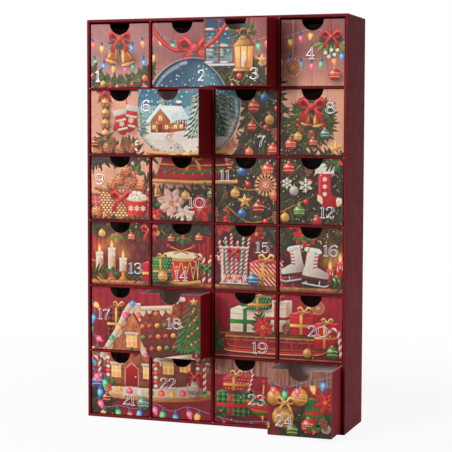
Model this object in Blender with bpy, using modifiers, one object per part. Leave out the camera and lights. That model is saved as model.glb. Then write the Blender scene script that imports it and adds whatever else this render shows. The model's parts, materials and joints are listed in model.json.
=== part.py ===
"""Advent calendar: a paperboard cabinet with a grid of small drawers, each pulled by a thumb notch.

The origin is the centre of the underside. +X runs to the right along the front, +Y to the back
and +Z up. Every length is in metres.
"""
import math

import bmesh
import bpy
from mathutils import Matrix, Vector

# Case, outside measures
CASE_WIDTH = 0.302
CASE_HEIGHT = 0.450
CASE_DEPTH = 0.077
WALL = 0.0030
BACK_BOARD = 0.0025
CASE_EDGE_ROUND = 0.0006

# Divider grid
COLUMNS = 4
ROWS = 6
DIVIDER = 0.0020
DIVIDER_SETBACK = 0.0004
DIVIDER_EDGE_ROUND = 0.0005
TOP_ROW_HEADROOM = 0.0016

# Drawers
TRAY_BOARD = 0.0012
TRAY_FOLD_ROUND = 0.0006
FRONT_BOARD = 0.0012
FRONT_EDGE_ROUND = 0.0003
FRONT_LIFT = 0.0005
NOTCH_RADIUS = 0.0120
DRAWER_SIDE_GAP = 0.0011
DRAWER_TOP_GAP = 0.0006
DRAWER_BACK_GAP = 0.0015
DRAWER_RECESS = 0.0022

# How far the four open drawers stand out of their cells
PULL_OUT_DRAWER_3 = 0.038
PULL_OUT_DRAWER_6 = 0.042
PULL_OUT_DRAWER_18 = 0.035
PULL_OUT_DRAWER_24 = 0.042
PULLED_OUT = {3: PULL_OUT_DRAWER_3, 6: PULL_OUT_DRAWER_6, 18: PULL_OUT_DRAWER_18, 24: PULL_OUT_DRAWER_24}

# Gap that is left wherever two boards are glued or rest on each other
JOINT_GAP = 0.0003

# Mesh quality
NOTCH_SIDES = 64
SHARP_ANGLE = math.radians(30)
ROUND_SEGMENTS = 3
CUT_MARGIN = 0.01

# Board finishes: colour and roughness
RED_PAPER = ((0.130, 0.016, 0.022, 1.0), 0.55)
GREYBOARD = ((0.300, 0.230, 0.200, 1.0), 0.90)
PRINTED_FRONT = ((0.330, 0.090, 0.080, 1.0), 0.50)

# Sizes that follow from the ones above
FRONT_PLANE = -CASE_DEPTH / 2
BACK_PLANE = CASE_DEPTH / 2
GRID_FRONT = FRONT_PLANE + DIVIDER_SETBACK
GRID_BACK = BACK_PLANE - BACK_BOARD - JOINT_GAP
GRID_MIDDLE = (GRID_FRONT + GRID_BACK) / 2
INSIDE_WIDTH = CASE_WIDTH - 2 * WALL
INSIDE_HEIGHT = CASE_HEIGHT - 2 * WALL
CELL_WIDTH = (INSIDE_WIDTH - (COLUMNS - 1) * DIVIDER) / COLUMNS
CELL_HEIGHT = (INSIDE_HEIGHT - TOP_ROW_HEADROOM - (ROWS - 1) * DIVIDER) / ROWS
DRAWER_WIDTH = CELL_WIDTH - 2 * DRAWER_SIDE_GAP
DRAWER_HEIGHT = CELL_HEIGHT - JOINT_GAP - DRAWER_TOP_GAP
TRAY_BACK = GRID_BACK - DRAWER_BACK_GAP


def clear_scene():
    for old in list(bpy.data.objects):
        bpy.data.objects.remove(old, do_unlink=True)


def new_collection(name):
    collection = bpy.data.collections.new(name)
    bpy.context.scene.collection.children.link(collection)
    return collection


def board_material(name, finish):
    colour, roughness = finish
    material = bpy.data.materials.new(name)
    material.use_nodes = True
    shader = material.node_tree.nodes["Principled BSDF"]
    shader.inputs["Base Color"].default_value = colour
    shader.inputs["Roughness"].default_value = roughness
    shader.inputs["Metallic"].default_value = 0.0
    material.diffuse_color = colour
    return material


def add_box(shape, low, high):
    """Add a box between two corners to a bmesh and return its vertices."""
    low = Vector(low)
    high = Vector(high)
    corners = bmesh.ops.create_cube(shape, size=1.0)["verts"]
    bmesh.ops.scale(shape, vec=high - low, verts=corners)
    bmesh.ops.translate(shape, vec=(low + high) / 2, verts=corners)
    return corners


def finish_object(name, shape, collection, finish=None):
    """Turn a bmesh into an object. A cutter has no finish and isn't drawn."""
    mesh = bpy.data.meshes.new(name)
    shape.to_mesh(mesh)
    shape.free()
    thing = bpy.data.objects.new(name, mesh)
    collection.objects.link(thing)
    if finish:
        mesh.materials.append(board_material(name, finish))
    else:
        thing.hide_render = True
        thing.display_type = "WIRE"
    return thing


def cut(thing, cutter):
    modifier = thing.modifiers.new("cut", "BOOLEAN")
    modifier.operation = "DIFFERENCE"
    modifier.solver = "EXACT"
    modifier.object = cutter


def round_now(shape, edges, width):
    """Round some edges of a bmesh."""
    bmesh.ops.bevel(shape, geom=edges, offset=width, segments=ROUND_SEGMENTS, profile=0.5, affect="EDGES")


def round_edges(thing, width):
    """Round all sharp edges of an object."""
    modifier = thing.modifiers.new("rounded_edges", "BEVEL")
    modifier.width = width
    modifier.segments = ROUND_SEGMENTS
    modifier.limit_method = "ANGLE"


def build_case(parts):
    """A frame folded from one long board, and a back board set in behind the divider grid."""
    shape = bmesh.new()
    bmesh.ops.create_grid(shape, x_segments=1, y_segments=1, size=0.5)
    stand_up = Matrix.Rotation(math.pi / 2, 4, "X") @ Matrix.Diagonal((CASE_WIDTH, CASE_HEIGHT, 1, 1))
    bmesh.ops.transform(shape, matrix=stand_up, verts=shape.verts)
    inset = bmesh.ops.inset_region(shape, faces=shape.faces[:], thickness=WALL, use_boundary=True,
                                   use_even_offset=True)
    window = [face for face in shape.faces if face not in inset["faces"]]
    bmesh.ops.delete(shape, geom=window, context="FACES_ONLY")
    bmesh.ops.solidify(shape, geom=shape.faces[:], thickness=CASE_DEPTH)
    bmesh.ops.recalc_face_normals(shape, faces=shape.faces)
    low_y = min(vertex.co.y for vertex in shape.verts)
    bmesh.ops.translate(shape, vec=(0, FRONT_PLANE - low_y, CASE_HEIGHT / 2), verts=shape.verts)
    outer_edges = [edge for edge in shape.edges if edge.calc_face_angle_signed() > SHARP_ANGLE]
    round_now(shape, outer_edges, CASE_EDGE_ROUND)
    finish_object("case_frame", shape, parts, RED_PAPER)

    inner_x = INSIDE_WIDTH / 2 - JOINT_GAP
    low_z = WALL + JOINT_GAP
    shape = bmesh.new()
    add_box(shape, (-inner_x, BACK_PLANE - BACK_BOARD, low_z), (inner_x, BACK_PLANE, CASE_HEIGHT - low_z))
    finish_object("back_panel", shape, parts, RED_PAPER)


def upright_left(count):
    """Left face of the upright after a number of columns."""
    return -INSIDE_WIDTH / 2 + count * CELL_WIDTH + (count - 1) * DIVIDER


def shelf_bottom(count):
    """Underside of the shelf above a number of rows, counted from the bottom."""
    return WALL + count * CELL_HEIGHT + (count - 1) * DIVIDER


def build_grid(parts, cutters):
    """Half-lapped shelves and uprights. Shelves are slotted from the back, uprights from the front."""
    shelf_end = INSIDE_WIDTH / 2 - JOINT_GAP
    low_z = WALL + JOINT_GAP
    high_z = CASE_HEIGHT - WALL - JOINT_GAP

    shape = bmesh.new()
    for count in range(1, COLUMNS):
        low = (upright_left(count) - JOINT_GAP, GRID_MIDDLE - JOINT_GAP / 2, 0)
        high = (upright_left(count) + DIVIDER + JOINT_GAP, GRID_BACK + CUT_MARGIN, CASE_HEIGHT)
        add_box(shape, low, high)
    slots_in_shelves = finish_object("slots_in_shelves", shape, cutters)

    shape = bmesh.new()
    for count in range(1, ROWS):
        low = (-CASE_WIDTH / 2, GRID_FRONT - CUT_MARGIN, shelf_bottom(count) - JOINT_GAP)
        high = (CASE_WIDTH / 2, GRID_MIDDLE + JOINT_GAP / 2, shelf_bottom(count) + DIVIDER + JOINT_GAP)
        add_box(shape, low, high)
    slots_in_uprights = finish_object("slots_in_uprights", shape, cutters)

    for count in range(1, ROWS):
        shape = bmesh.new()
        bottom = shelf_bottom(count)
        add_box(shape, (-shelf_end, GRID_FRONT, bottom), (shelf_end, GRID_BACK, bottom + DIVIDER))
        shelf = finish_object(f"shelf_{ROWS - count}", shape, parts, RED_PAPER)
        round_edges(shelf, DIVIDER_EDGE_ROUND)
        cut(shelf, slots_in_shelves)

    for count in range(1, COLUMNS):
        shape = bmesh.new()
        left = upright_left(count)
        add_box(shape, (left, GRID_FRONT, low_z), (left + DIVIDER, GRID_BACK, high_z))
        upright = finish_object(f"upright_{count}", shape, parts, RED_PAPER)
        round_edges(upright, DIVIDER_EDGE_ROUND)
        cut(upright, slots_in_uprights)


def finished_mesh(thing):
    """The mesh that an object has after its modifiers, for copies to share."""
    bpy.context.view_layer.update()
    graph = bpy.context.evaluated_depsgraph_get()
    mesh = bpy.data.meshes.new_from_object(thing.evaluated_get(graph))
    bpy.data.objects.remove(thing, do_unlink=True)
    return mesh


def tray_mesh(parts, cutters):
    """A folded tray with its floor, sides and back, open at the top and towards the front board.

    It is drawn about the middle of the drawer's front, on the floor of its cell.
    """
    front = FRONT_BOARD + JOINT_GAP
    back = TRAY_BACK - FRONT_PLANE - DRAWER_RECESS
    top = JOINT_GAP + DRAWER_HEIGHT
    shape = bmesh.new()
    add_box(shape, (-DRAWER_WIDTH / 2, front, JOINT_GAP), (DRAWER_WIDTH / 2, back, top))
    folds = []
    for edge in shape.edges:
        middle = (edge.verts[0].co + edge.verts[1].co) / 2
        if middle.y > front + TRAY_BOARD and middle.z < top - TRAY_BOARD:
            folds.append(edge)
    round_now(shape, folds, TRAY_FOLD_ROUND)
    tray = finish_object("tray", shape, parts, GREYBOARD)

    shape = bmesh.new()
    inner_x = DRAWER_WIDTH / 2 - TRAY_BOARD
    inner_low = (-inner_x, front - CUT_MARGIN, JOINT_GAP + TRAY_BOARD)
    add_box(shape, inner_low, (inner_x, back - TRAY_BOARD, top + CUT_MARGIN))
    cut(tray, finish_object("tray_inside", shape, cutters))
    return finished_mesh(tray)


def front_mesh(parts, cutters):
    """A printed front board with a half-round thumb notch in the middle of its top edge."""
    top = JOINT_GAP + DRAWER_HEIGHT
    shape = bmesh.new()
    add_box(shape, (-DRAWER_WIDTH / 2, 0, JOINT_GAP + FRONT_LIFT), (DRAWER_WIDTH / 2, FRONT_BOARD, top))
    board = finish_object("front", shape, parts, PRINTED_FRONT)
    round_edges(board, FRONT_EDGE_ROUND)

    shape = bmesh.new()
    lie_along_y = Matrix.Translation((0, FRONT_BOARD / 2, top)) @ Matrix.Rotation(math.pi / 2, 4, "X")
    bmesh.ops.create_cone(shape, cap_ends=True, segments=NOTCH_SIDES, radius1=NOTCH_RADIUS,
                          radius2=NOTCH_RADIUS, depth=FRONT_BOARD + CUT_MARGIN, matrix=lie_along_y)
    cut(board, finish_object("thumb_notch", shape, cutters))
    return finished_mesh(board)


def drawer_piece(name, mesh, finish, holder, parts):
    """A copy of a drawer's tray or front, which shares its mesh and has its own material."""
    piece = bpy.data.objects.new(name, mesh)
    parts.objects.link(piece)
    piece.parent = holder
    piece.material_slots[0].link = "OBJECT"
    piece.material_slots[0].material = board_material(name, finish)


def build_drawers(parts, cutters):
    """Each drawer's two pieces hang on an empty in the middle of its front, on its slide's axis."""
    tray = tray_mesh(parts, cutters)
    front = front_mesh(parts, cutters)
    for number in range(1, COLUMNS * ROWS + 1):
        row, column = divmod(number - 1, COLUMNS)
        middle_x = -INSIDE_WIDTH / 2 + column * (CELL_WIDTH + DIVIDER) + CELL_WIDTH / 2
        floor_z = WALL + (ROWS - 1 - row) * (CELL_HEIGHT + DIVIDER)
        holder = bpy.data.objects.new(f"drawer_{number:02d}", None)
        parts.objects.link(holder)
        holder.location = (middle_x, FRONT_PLANE + DRAWER_RECESS - PULLED_OUT.get(number, 0), floor_z)
        drawer_piece(f"drawer_{number:02d}_tray", tray, GREYBOARD, holder, parts)
        drawer_piece(f"drawer_{number:02d}_front", front, PRINTED_FRONT, holder, parts)


def main():
    clear_scene()
    parts = new_collection("advent_calendar")
    cutters = new_collection("cutters")
    build_case(parts)
    build_grid(parts, cutters)
    build_drawers(parts, cutters)
    bpy.context.view_layer.update()


main()
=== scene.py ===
# Advent calendar: a red paper-wrapped cabinet with 24 board drawers, printed fronts and silver numbers.
import json
import math

import bpy
import numpy as np
from mathutils import Matrix, Vector

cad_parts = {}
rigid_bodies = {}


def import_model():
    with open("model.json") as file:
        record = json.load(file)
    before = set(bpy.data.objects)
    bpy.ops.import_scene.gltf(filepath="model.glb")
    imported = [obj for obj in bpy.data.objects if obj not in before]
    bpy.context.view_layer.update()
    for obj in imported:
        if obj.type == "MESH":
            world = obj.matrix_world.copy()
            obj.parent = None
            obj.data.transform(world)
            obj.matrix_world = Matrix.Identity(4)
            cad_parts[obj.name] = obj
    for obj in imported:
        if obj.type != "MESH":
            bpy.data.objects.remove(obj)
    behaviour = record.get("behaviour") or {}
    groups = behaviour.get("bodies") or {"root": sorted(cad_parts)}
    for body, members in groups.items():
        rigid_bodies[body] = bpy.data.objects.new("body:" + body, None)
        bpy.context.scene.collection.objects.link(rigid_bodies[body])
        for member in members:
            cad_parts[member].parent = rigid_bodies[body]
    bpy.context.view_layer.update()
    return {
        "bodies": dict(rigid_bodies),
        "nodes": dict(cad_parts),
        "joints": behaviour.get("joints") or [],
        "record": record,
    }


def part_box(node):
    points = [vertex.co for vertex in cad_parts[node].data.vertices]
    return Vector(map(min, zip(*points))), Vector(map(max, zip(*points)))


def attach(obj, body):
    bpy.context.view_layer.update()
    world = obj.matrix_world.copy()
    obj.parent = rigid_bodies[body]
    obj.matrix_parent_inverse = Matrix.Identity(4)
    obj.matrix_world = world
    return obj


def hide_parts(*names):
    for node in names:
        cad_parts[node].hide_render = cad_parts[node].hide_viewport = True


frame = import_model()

scene = bpy.context.scene
mm = 0.001
rows, columns = 6, 4
drawerNames = [f"drawer_{number:02d}" for number in range(1, rows * columns + 1)]
print("frame loaded:", len(frame["nodes"]), "nodes")


# Camera, light and floor

cameraLook = {
    "place": (0.51258, -1.46753, 0.32514),
    "yaw": 0.3348,          # turn to the left, in radians
    "pitch": 0.0680,        # tilt down
    "roll": 0.0032,
    "lens": 110.26,
    "sensor": 36.0,
}


def makeCamera():
    yaw, pitch, roll = (cameraLook[part] for part in ("yaw", "pitch", "roll"))
    forward = Vector((-math.sin(yaw) * math.cos(pitch), math.cos(yaw) * math.cos(pitch), -math.sin(pitch)))
    right = Vector((math.cos(yaw), math.sin(yaw), 0))
    up = right.cross(forward)
    turnedRight = right * math.cos(roll) + up * math.sin(roll)
    turnedUp = up * math.cos(roll) - right * math.sin(roll)
    data = bpy.data.cameras.new("photoCamera")
    data.lens, data.sensor_width = cameraLook["lens"], cameraLook["sensor"]
    data.clip_start, data.clip_end = 0.05, 50
    camera = bpy.data.objects.new("photoCamera", data)
    turn = Matrix((turnedRight, turnedUp, -forward)).transposed().to_4x4()
    camera.matrix_world = Matrix.Translation(cameraLook["place"]) @ turn
    scene.collection.objects.link(camera)
    scene.camera = camera


lampLook = {
    "key": {"place": (-1.05, -1.85, 0.74), "size": 0.55, "power": 23.5, "colour": (1.0, 0.985, 0.965)},
    "top": {"place": (-0.55, -1.0, 1.75), "size": 0.9, "power": 25.0, "colour": (1.0, 0.99, 0.98)},
    "foot": {"place": (0.4, 0.16, 0.02), "size": 0.12, "power": 0.42, "colour": (1.0, 0.99, 0.985)},
    "behind": {"place": (-0.75, 1.7, 1.0), "size": 1.2, "power": 10.0, "colour": (1.0, 0.99, 0.985)},
}
lampTarget = Vector((0, 0, 0.22))


def makeLamps():
    for name, look in lampLook.items():
        data = bpy.data.lights.new(name + "Lamp", "AREA")
        data.shape, data.size, data.energy, data.color = "DISK", look["size"], look["power"], look["colour"]
        lamp = bpy.data.objects.new(name + "Lamp", data)
        lamp.location = look["place"]
        lamp.visible_camera = False
        lamp.rotation_euler = (lampTarget - lamp.location).to_track_quat("-Z", "Y").to_euler()
        scene.collection.objects.link(lamp)


# Shader helpers: each one adds its nodes to the material that newMaterial has begun

making = {"tree": None, "shader": None}


def newMaterial(name):
    material = bpy.data.materials.new(name)
    material.use_nodes = True
    making["tree"] = material.node_tree
    making["tree"].nodes.clear()
    making["shader"] = node("BsdfPrincipled")
    give(node("OutputMaterial").inputs[0], making["shader"].outputs[0])
    return material


def node(kind):
    return making["tree"].nodes.new("ShaderNode" + kind)


def give(socket, value):
    if isinstance(value, bpy.types.NodeSocket):
        making["tree"].links.new(value, socket)
    elif value is not None:
        socket.default_value = value


def finish(colour, roughness, specular, height, strength, distance, metal=0.0):
    sockets, bump = making["shader"].inputs, node("Bump")
    give(sockets["Base Color"], colour)
    give(sockets["Roughness"], roughness)
    sockets["Specular IOR Level"].default_value = specular
    sockets["Metallic"].default_value = metal
    bump.inputs["Strength"].default_value = strength
    bump.inputs["Distance"].default_value = distance
    give(bump.inputs["Height"], height)
    give(sockets["Normal"], bump.outputs[0])


def maths(kind, *values):
    made = node("Math")
    made.operation = kind
    for socket, value in zip(made.inputs, values):
        give(socket, value)
    return made.outputs[0]


def times(first, second):
    return maths("MULTIPLY", first, second)


def plus(first, second):
    return maths("ADD", first, second)


def minus(first, second):
    return maths("SUBTRACT", first, second)


def ranged(*values):    # value, low, high, and what low and high become
    made = node("MapRange")
    for socket, part in zip(made.inputs, values):
        give(socket, part)
    return made.outputs[0]


def mixed(share, *colours):
    made = node("Mix")
    made.data_type = "RGBA"
    give(made.inputs[0], share)
    for socket, value in zip(made.inputs[6:8], colours):
        give(socket, (*linear(value), 1) if isinstance(value, str) else value)
    return made.outputs[2]


def noise(scale, detail=3.0, rough=0.55, stretch=None):
    place = node("TexCoord").outputs["Object"]
    if stretch:
        mapping = node("Mapping")
        give(mapping.inputs[0], place)
        mapping.inputs["Scale"].default_value = stretch
        place = mapping.outputs[0]
    made = node("TexNoise")
    give(made.inputs["Vector"], place)
    for name, value in (("Scale", scale), ("Detail", detail), ("Roughness", rough)):
        made.inputs[name].default_value = value
    return made.outputs[0]


edgeLook = {"flat": 0.995, "edge": 0.86}    # how well the rounded and the true normal agree


# 1 where the surface turns over an edge within that radius, 0 on the flat
def edgeMask(radius):
    bevel, dot = node("Bevel"), node("VectorMath")
    bevel.inputs["Radius"].default_value = radius
    dot.operation = "DOT_PRODUCT"
    give(dot.inputs[0], bevel.outputs[0])
    give(dot.inputs[1], node("NewGeometry").outputs["Normal"])
    return ranged(dot.outputs["Value"], edgeLook["flat"], edgeLook["edge"])


def parts(vector):
    split = node("SeparateXYZ")
    give(split.inputs[0], vector)
    return split.outputs


def linear(hexText):
    shares = [int(hexText[i:i + 2], 16) / 255 for i in (0, 2, 4)]
    return tuple(share / 12.92 if share <= 0.04045 else ((share + 0.055) / 1.055) ** 2.4 for share in shares)


# Surroundings

floorLook = {
    "reach": 12.0, "colour": "dededc", "cloud": "e6e6e4", "rough": 0.9,
    "near": 0.25, "far": 0.75, "nearLight": 0.92,    # it shows as white from far on, and a little less near by
    "fill": 0.085,                                   # light from all round
}


def seenDirectly():
    path = node("LightPath").outputs
    return maths("MINIMUM", plus(plus(path["Is Camera Ray"], path["Is Glossy Ray"]), path["Is Transmission Ray"]), 1.0)


def mixShader(share, first, second):
    made = node("MixShader")
    for socket, value in zip(made.inputs, (share, first.outputs[0], second.outputs[0])):
        give(socket, value)
    return made.outputs[0]


def makeSurroundings():
    world = bpy.data.worlds.new("studio")
    scene.world = world
    world.use_nodes = True
    making["tree"] = world.node_tree
    making["tree"].nodes.clear()
    fill, white = node("Background"), node("Background")
    for background, strength in ((fill, floorLook["fill"]), (white, 1.0)):
        background.inputs[0].default_value = (1, 1, 1, 1)
        background.inputs[1].default_value = strength
    give(node("OutputWorld").inputs[0], mixShader(seenDirectly(), fill, white))

    reach = floorLook["reach"]
    mesh = bpy.data.meshes.new("studioFloor")
    corners = [(-reach, -reach, 0), (reach, -reach, 0), (reach, reach, 0), (-reach, reach, 0)]
    mesh.from_pydata(corners, [], [(0, 1, 2, 3)])
    floor = bpy.data.objects.new("studioFloor", mesh)
    scene.collection.objects.link(floor)
    mesh.materials.append(newMaterial("palePaperFloor"))
    shader, away = making["shader"], node("VectorMath")
    give(shader.inputs["Base Color"], mixed(noise(3.0), floorLook["colour"], floorLook["cloud"]))
    shader.inputs["Roughness"].default_value = floorLook["rough"]
    shader.inputs["Specular IOR Level"].default_value = 0.0
    away.operation = "LENGTH"
    give(away.inputs[0], node("TexCoord").outputs["Object"])
    light = ranged(away.outputs["Value"], floorLook["near"], floorLook["far"], floorLook["nearLight"], 1.0)
    output = next(each for each in making["tree"].nodes if each.type == "OUTPUT_MATERIAL")
    give(output.inputs[0], mixShader(times(seenDirectly(), light), shader, node("Emission")))


makeCamera()
makeLamps()
makeSurroundings()
scene.view_settings.view_transform = "Standard"
print("camera, lamps and floor set")


# Paper and board finishes

# The pale colour goes into the fibres and onto the rubbed edges. The rubbed edges are partly wear and partly a painted
# highlight where the paper rolls over; edge says how strongly they take it
paperLook = {
    "case": {"base": "7a2229", "deep": "691a21", "paleWearAndHighlight": "a35c5d", "rough": 0.54, "fibre": 0.07, "edge": 0.5},
    "divider": {"base": "741a22", "deep": "61141b", "paleWearAndHighlight": "a04e50", "rough": 0.55, "fibre": 0.07, "edge": 0.4},
    "lining": {"base": "812e36", "deep": "70232b", "paleWearAndHighlight": "b07a78", "rough": 0.72, "fibre": 0.3, "edge": 0.5},
    "fleck": {"base": "d9bdb4", "deep": "b08c86", "paleWearAndHighlight": "f0dcd2", "rough": 0.8, "fibre": 0.5, "edge": 0.0},
}
# The edge colour is the bare board of the walls' cut tops, and of the rubbed edges, which are partly wear and partly a
# painted highlight
trayLook = {
    "outside": "981b24", "outsideDeep": "80151e", "inside": "f4e6e4", "insideDeep": "e4d3d1", "edge": "c39a95",
    "speck": "6d564e", "rimAbove": 30.0,    # the last is a height in the drawer, in millimetres
}
# A pale veil is mixed into all the ink: partly the print's lifted blacks, partly a painted sheen standing in for the
# lamps' soft reflection on the semi-matt print
printLook = {"veilAndSheen": "b58a86", "veilAndSheenShare": 0.035, "rough": 0.46, "core": "7c3a3c", "upperCore": "c29a95",
             "grain": 0.05}
foilLook = {"light": "f7f4f6", "dark": "dcd6de", "rough": 0.35, "metal": 0.3}
paperShine = 0.02       # low, so that the sides don't mirror the pale room


def varied(scale, middle, swing=0.06, detail=3.0):
    return ranged(noise(scale, detail), 0.3, 0.7, middle - swing, middle + swing)


def fibreHeight():
    strands = times(noise(420.0, 2.0, 0.5, (1.0, 1.0, 0.22)), 0.35)
    return plus(plus(times(noise(1500.0, 4.0, 0.6), 0.45), strands), times(noise(26.0, 1.0, 0.4), 3.0))


seamLook = {"colour": "2a0a0e", "share": 0.55, "core": 0.10, "fade": 0.28}    # the last two in millimetres


# The fold of the wrapping paper across each front corner of the case
def cornerSeam():
    low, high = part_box("case_frame")
    x, _, z = parts(node("TexCoord").outputs["Object"])
    half, middle = high.x, (low.z + high.z) / 2
    across, above = minus(half, maths("ABSOLUTE", x)), minus(middle, maths("ABSOLUTE", minus(z, middle)))
    return ranged(maths("ABSOLUTE", minus(across, above)), seamLook["core"] * mm, seamLook["fade"] * mm, 1.0, 0.0)


def wrappedPaper(name, look, seam=False):
    material = newMaterial(name)
    colour = mixed(ranged(noise(18.0), 0.3, 0.7), look["deep"], look["base"])
    colour = mixed(times(ranged(noise(900.0), 0.35, 0.75), look["fibre"]), colour, look["paleWearAndHighlight"])
    # pale rubbed edges: partly wear, partly a painted highlight along the rounded edges
    edgeWearAndHighlight = times(edgeMask(0.8 * mm), ranged(noise(120.0, 4.0, 0.7), 0.38, 0.62, 0.25, 1.0))
    colour = mixed(times(edgeWearAndHighlight, look["edge"]), colour, look["paleWearAndHighlight"])
    if seam:
        colour = mixed(times(cornerSeam(), seamLook["share"]), colour, seamLook["colour"])
    finish(colour, varied(60.0, look["rough"]), paperShine, fibreHeight(), 0.35, 0.06 * mm)
    return material


# Red paper outside, bare pale board inside. What a wall shows follows from where it is in its own drawer.
def trayPaper():
    material = newMaterial("trayBoard")
    x, y, z = parts(node("TexCoord").outputs["Object"])
    normalX, normalY, normalZ = parts(node("NewGeometry").outputs["True Normal"])
    pitchX, pitchZ, firstZ = cellPitch
    localX = minus(maths("FLOORED_MODULO", plus(x, 2 * pitchX), pitchX), pitchX / 2)
    localZ = maths("FLOORED_MODULO", minus(z, firstZ), pitchZ)
    rest = node("Attribute")
    rest.attribute_type, rest.attribute_name = "OBJECT", "trayFront"
    localY = minus(y, rest.outputs["Fac"])
    upper = maths("GREATER_THAN", localZ, trayLook["rimAbove"] * mm)
    inward = plus(times(times(normalX, maths("SIGN", localX)), -1.0),
                  times(normalY, maths("SIGN", minus(trayDepth / 2, localY))))
    floorUp = times(maths("GREATER_THAN", normalZ, 0.5), minus(1.0, upper))
    inside = ranged(plus(inward, times(floorUp, 2.0)), 0.3, 0.6)
    rim = times(times(maths("GREATER_THAN", normalZ, 0.35), upper), maths("LESS_THAN", localY, trayDepth * 0.95))
    cloud = ranged(noise(22.0), 0.3, 0.7)
    bare = mixed(cloud, trayLook["insideDeep"], trayLook["inside"])
    bare = mixed(times(ranged(noise(1100.0, 4.0, 0.7), 0.35, 0.72), 0.22), bare, trayLook["speck"])
    colour = mixed(inside, mixed(cloud, trayLook["outsideDeep"], trayLook["outside"]), bare)
    colour = mixed(times(rim, 0.8), colour, trayLook["edge"])
    # pale rubbed edges: partly wear, partly a painted highlight along the rounded edges
    edgeWearAndHighlight = times(edgeMask(0.6 * mm), ranged(noise(150.0, 4.0, 0.7), 0.4, 0.62, 0.1, 0.5))
    colour = mixed(edgeWearAndHighlight, colour, trayLook["edge"])
    finish(colour, ranged(inside, 0.0, 1.0, 0.5, 0.78), paperShine, fibreHeight(), 0.4, 0.07 * mm)
    return material


# The ink is a colour kept at the board's points, and its alpha says where the board's own core shows
def printedBoard():
    material = newMaterial("printedBoard")
    ink = node("Attribute")
    ink.attribute_type, ink.attribute_name = "GEOMETRY", "ink"
    grain = ranged(noise(1300.0), 0.3, 0.7, -printLook["grain"], printLook["grain"])
    # painted sheen: the pale veil, varied by the grain, is mixed into the ink
    colour = mixed(plus(printLook["veilAndSheenShare"], times(grain, 0.5)), ink.outputs["Color"], printLook["veilAndSheen"])
    upward = ranged(parts(node("NewGeometry").outputs["True Normal"])[2], 0.2, 0.6)
    core = mixed(times(upward, ranged(noise(700.0), 0.35, 0.7, 0.7, 1.0)), printLook["core"], printLook["upperCore"])
    colour = mixed(minus(1.0, ink.outputs["Alpha"]), colour, core)
    finish(colour, varied(90.0, printLook["rough"], 0.05), 0.2, fibreHeight(), 0.22, 0.05 * mm)
    return material


def silverFoil():
    material = newMaterial("silverFoil")
    colour = mixed(ranged(noise(380.0), 0.35, 0.65), foilLook["dark"], foilLook["light"])
    rough = varied(500.0, foilLook["rough"], 0.09, 2.0)
    finish(colour, rough, 0.5, noise(900.0, 2.0), 0.2, 0.02 * mm, foilLook["metal"])
    return material


def setMaterial(piece, material):
    piece.data.materials.clear()
    piece.data.materials.append(material)


# Where the drawers are, from the CAD nodes themselves
firstTray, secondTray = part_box("drawer_21_tray"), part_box("drawer_22_tray")
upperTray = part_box("drawer_17_tray")
cellPitch = (secondTray[0].x - firstTray[0].x, upperTray[0].z - firstTray[0].z, firstTray[0].z)
trayDepth = firstTray[1].y - firstTray[0].y
casePaper = wrappedPaper("casePaper", paperLook["case"], seam=True)
dividerPaper = wrappedPaper("dividerPaper", paperLook["divider"])
liningPaper = wrappedPaper("liningPaper", paperLook["lining"])
bareFleck = wrappedPaper("bareBoard", paperLook["fleck"])
trayBoard, printBoard, foil = trayPaper(), printedBoard(), silverFoil()
for nodeName, part in frame["nodes"].items():
    if nodeName.startswith("drawer"):
        setMaterial(part, trayBoard)
        part["trayFront"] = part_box(nodeName)[0].y
    else:
        setMaterial(part, casePaper if nodeName.startswith(("case", "back")) else dividerPaper)
print("papers and boards made")


# The printed picture: one sheet over all the fronts, painted in millimetres from the case's middle and foot

sheet = {
    "left": -149.0, "right": 149.0, "low": 2.0, "high": 446.4,
    "cell": 0.4,    # distance between colour points
    "soft": 0.5,                           # width over which an edge fades
    "lightFrom": (-0.55, 0.83),            # the picture's own light, from the upper left
}


def softNoise(size, seed, stretch=1.0):
    gen = np.random.default_rng(seed)
    wide, high = sheet["right"] - sheet["left"], sheet["high"] - sheet["low"]
    coarse = gen.random((int(high / size / stretch) + 3, int(wide / size) + 3)).astype(np.float32) * 2 - 1
    row, col = (pointZ - sheet["low"]) / size / stretch, (pointX - sheet["left"]) / size
    rowLow, colLow = row.astype(int), col.astype(int)
    rowMix, colMix = row - rowLow, col - colLow
    rowMix = (rowMix * rowMix * (3 - 2 * rowMix))[:, None]
    colMix = (colMix * colMix * (3 - 2 * colMix))[None, :]
    lower, upper = (coarse[rowLow + step][:, colLow] * (1 - colMix) + coarse[rowLow + step][:, colLow + 1] * colMix
                    for step in (0, 1))
    return lower * (1 - rowMix) + upper * rowMix


pointX = np.arange(sheet["left"], sheet["right"] + sheet["cell"], sheet["cell"], dtype=np.float32)
pointZ = np.arange(sheet["low"], sheet["high"] + sheet["cell"], sheet["cell"], dtype=np.float32)
paint = np.zeros((len(pointZ), len(pointX), 3), np.float32)
mottle = 0.5 * softNoise(4.5, 1) + 0.5 * softNoise(1.5, 2)
chance = np.random.default_rng(24)
stance = [(np.eye(2), np.zeros(2), 1.0)]    # how the motif being drawn is turned, where it stands, and its size


# A motif is drawn round (0, 0) in its own millimetres, and this stands it on the sheet or in a larger motif
def motif(draw):
    def stand(x, z, size=1.0, angle=0.0, flip=False, **look):
        turned, origin, scale = stance[-1]
        cos, sin = math.cos(math.radians(angle)) * size, math.sin(math.radians(angle)) * size
        own = np.array([[-cos, -sin] if flip else [cos, sin], [-sin, cos]])
        stance.append((own @ turned, np.array([x, z]) @ turned + origin, scale * size))
        draw(**look)
        stance.pop()
    return stand


def onSheet(points):
    return np.asarray(points, float) @ stance[-1][0] + stance[-1][1]


# A place and lengths of the motif that is being drawn, as they are on the sheet
def placed(x, z, *lengths):
    return (*onSheet((x, z)), *(length * stance[-1][2] for length in lengths))


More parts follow.
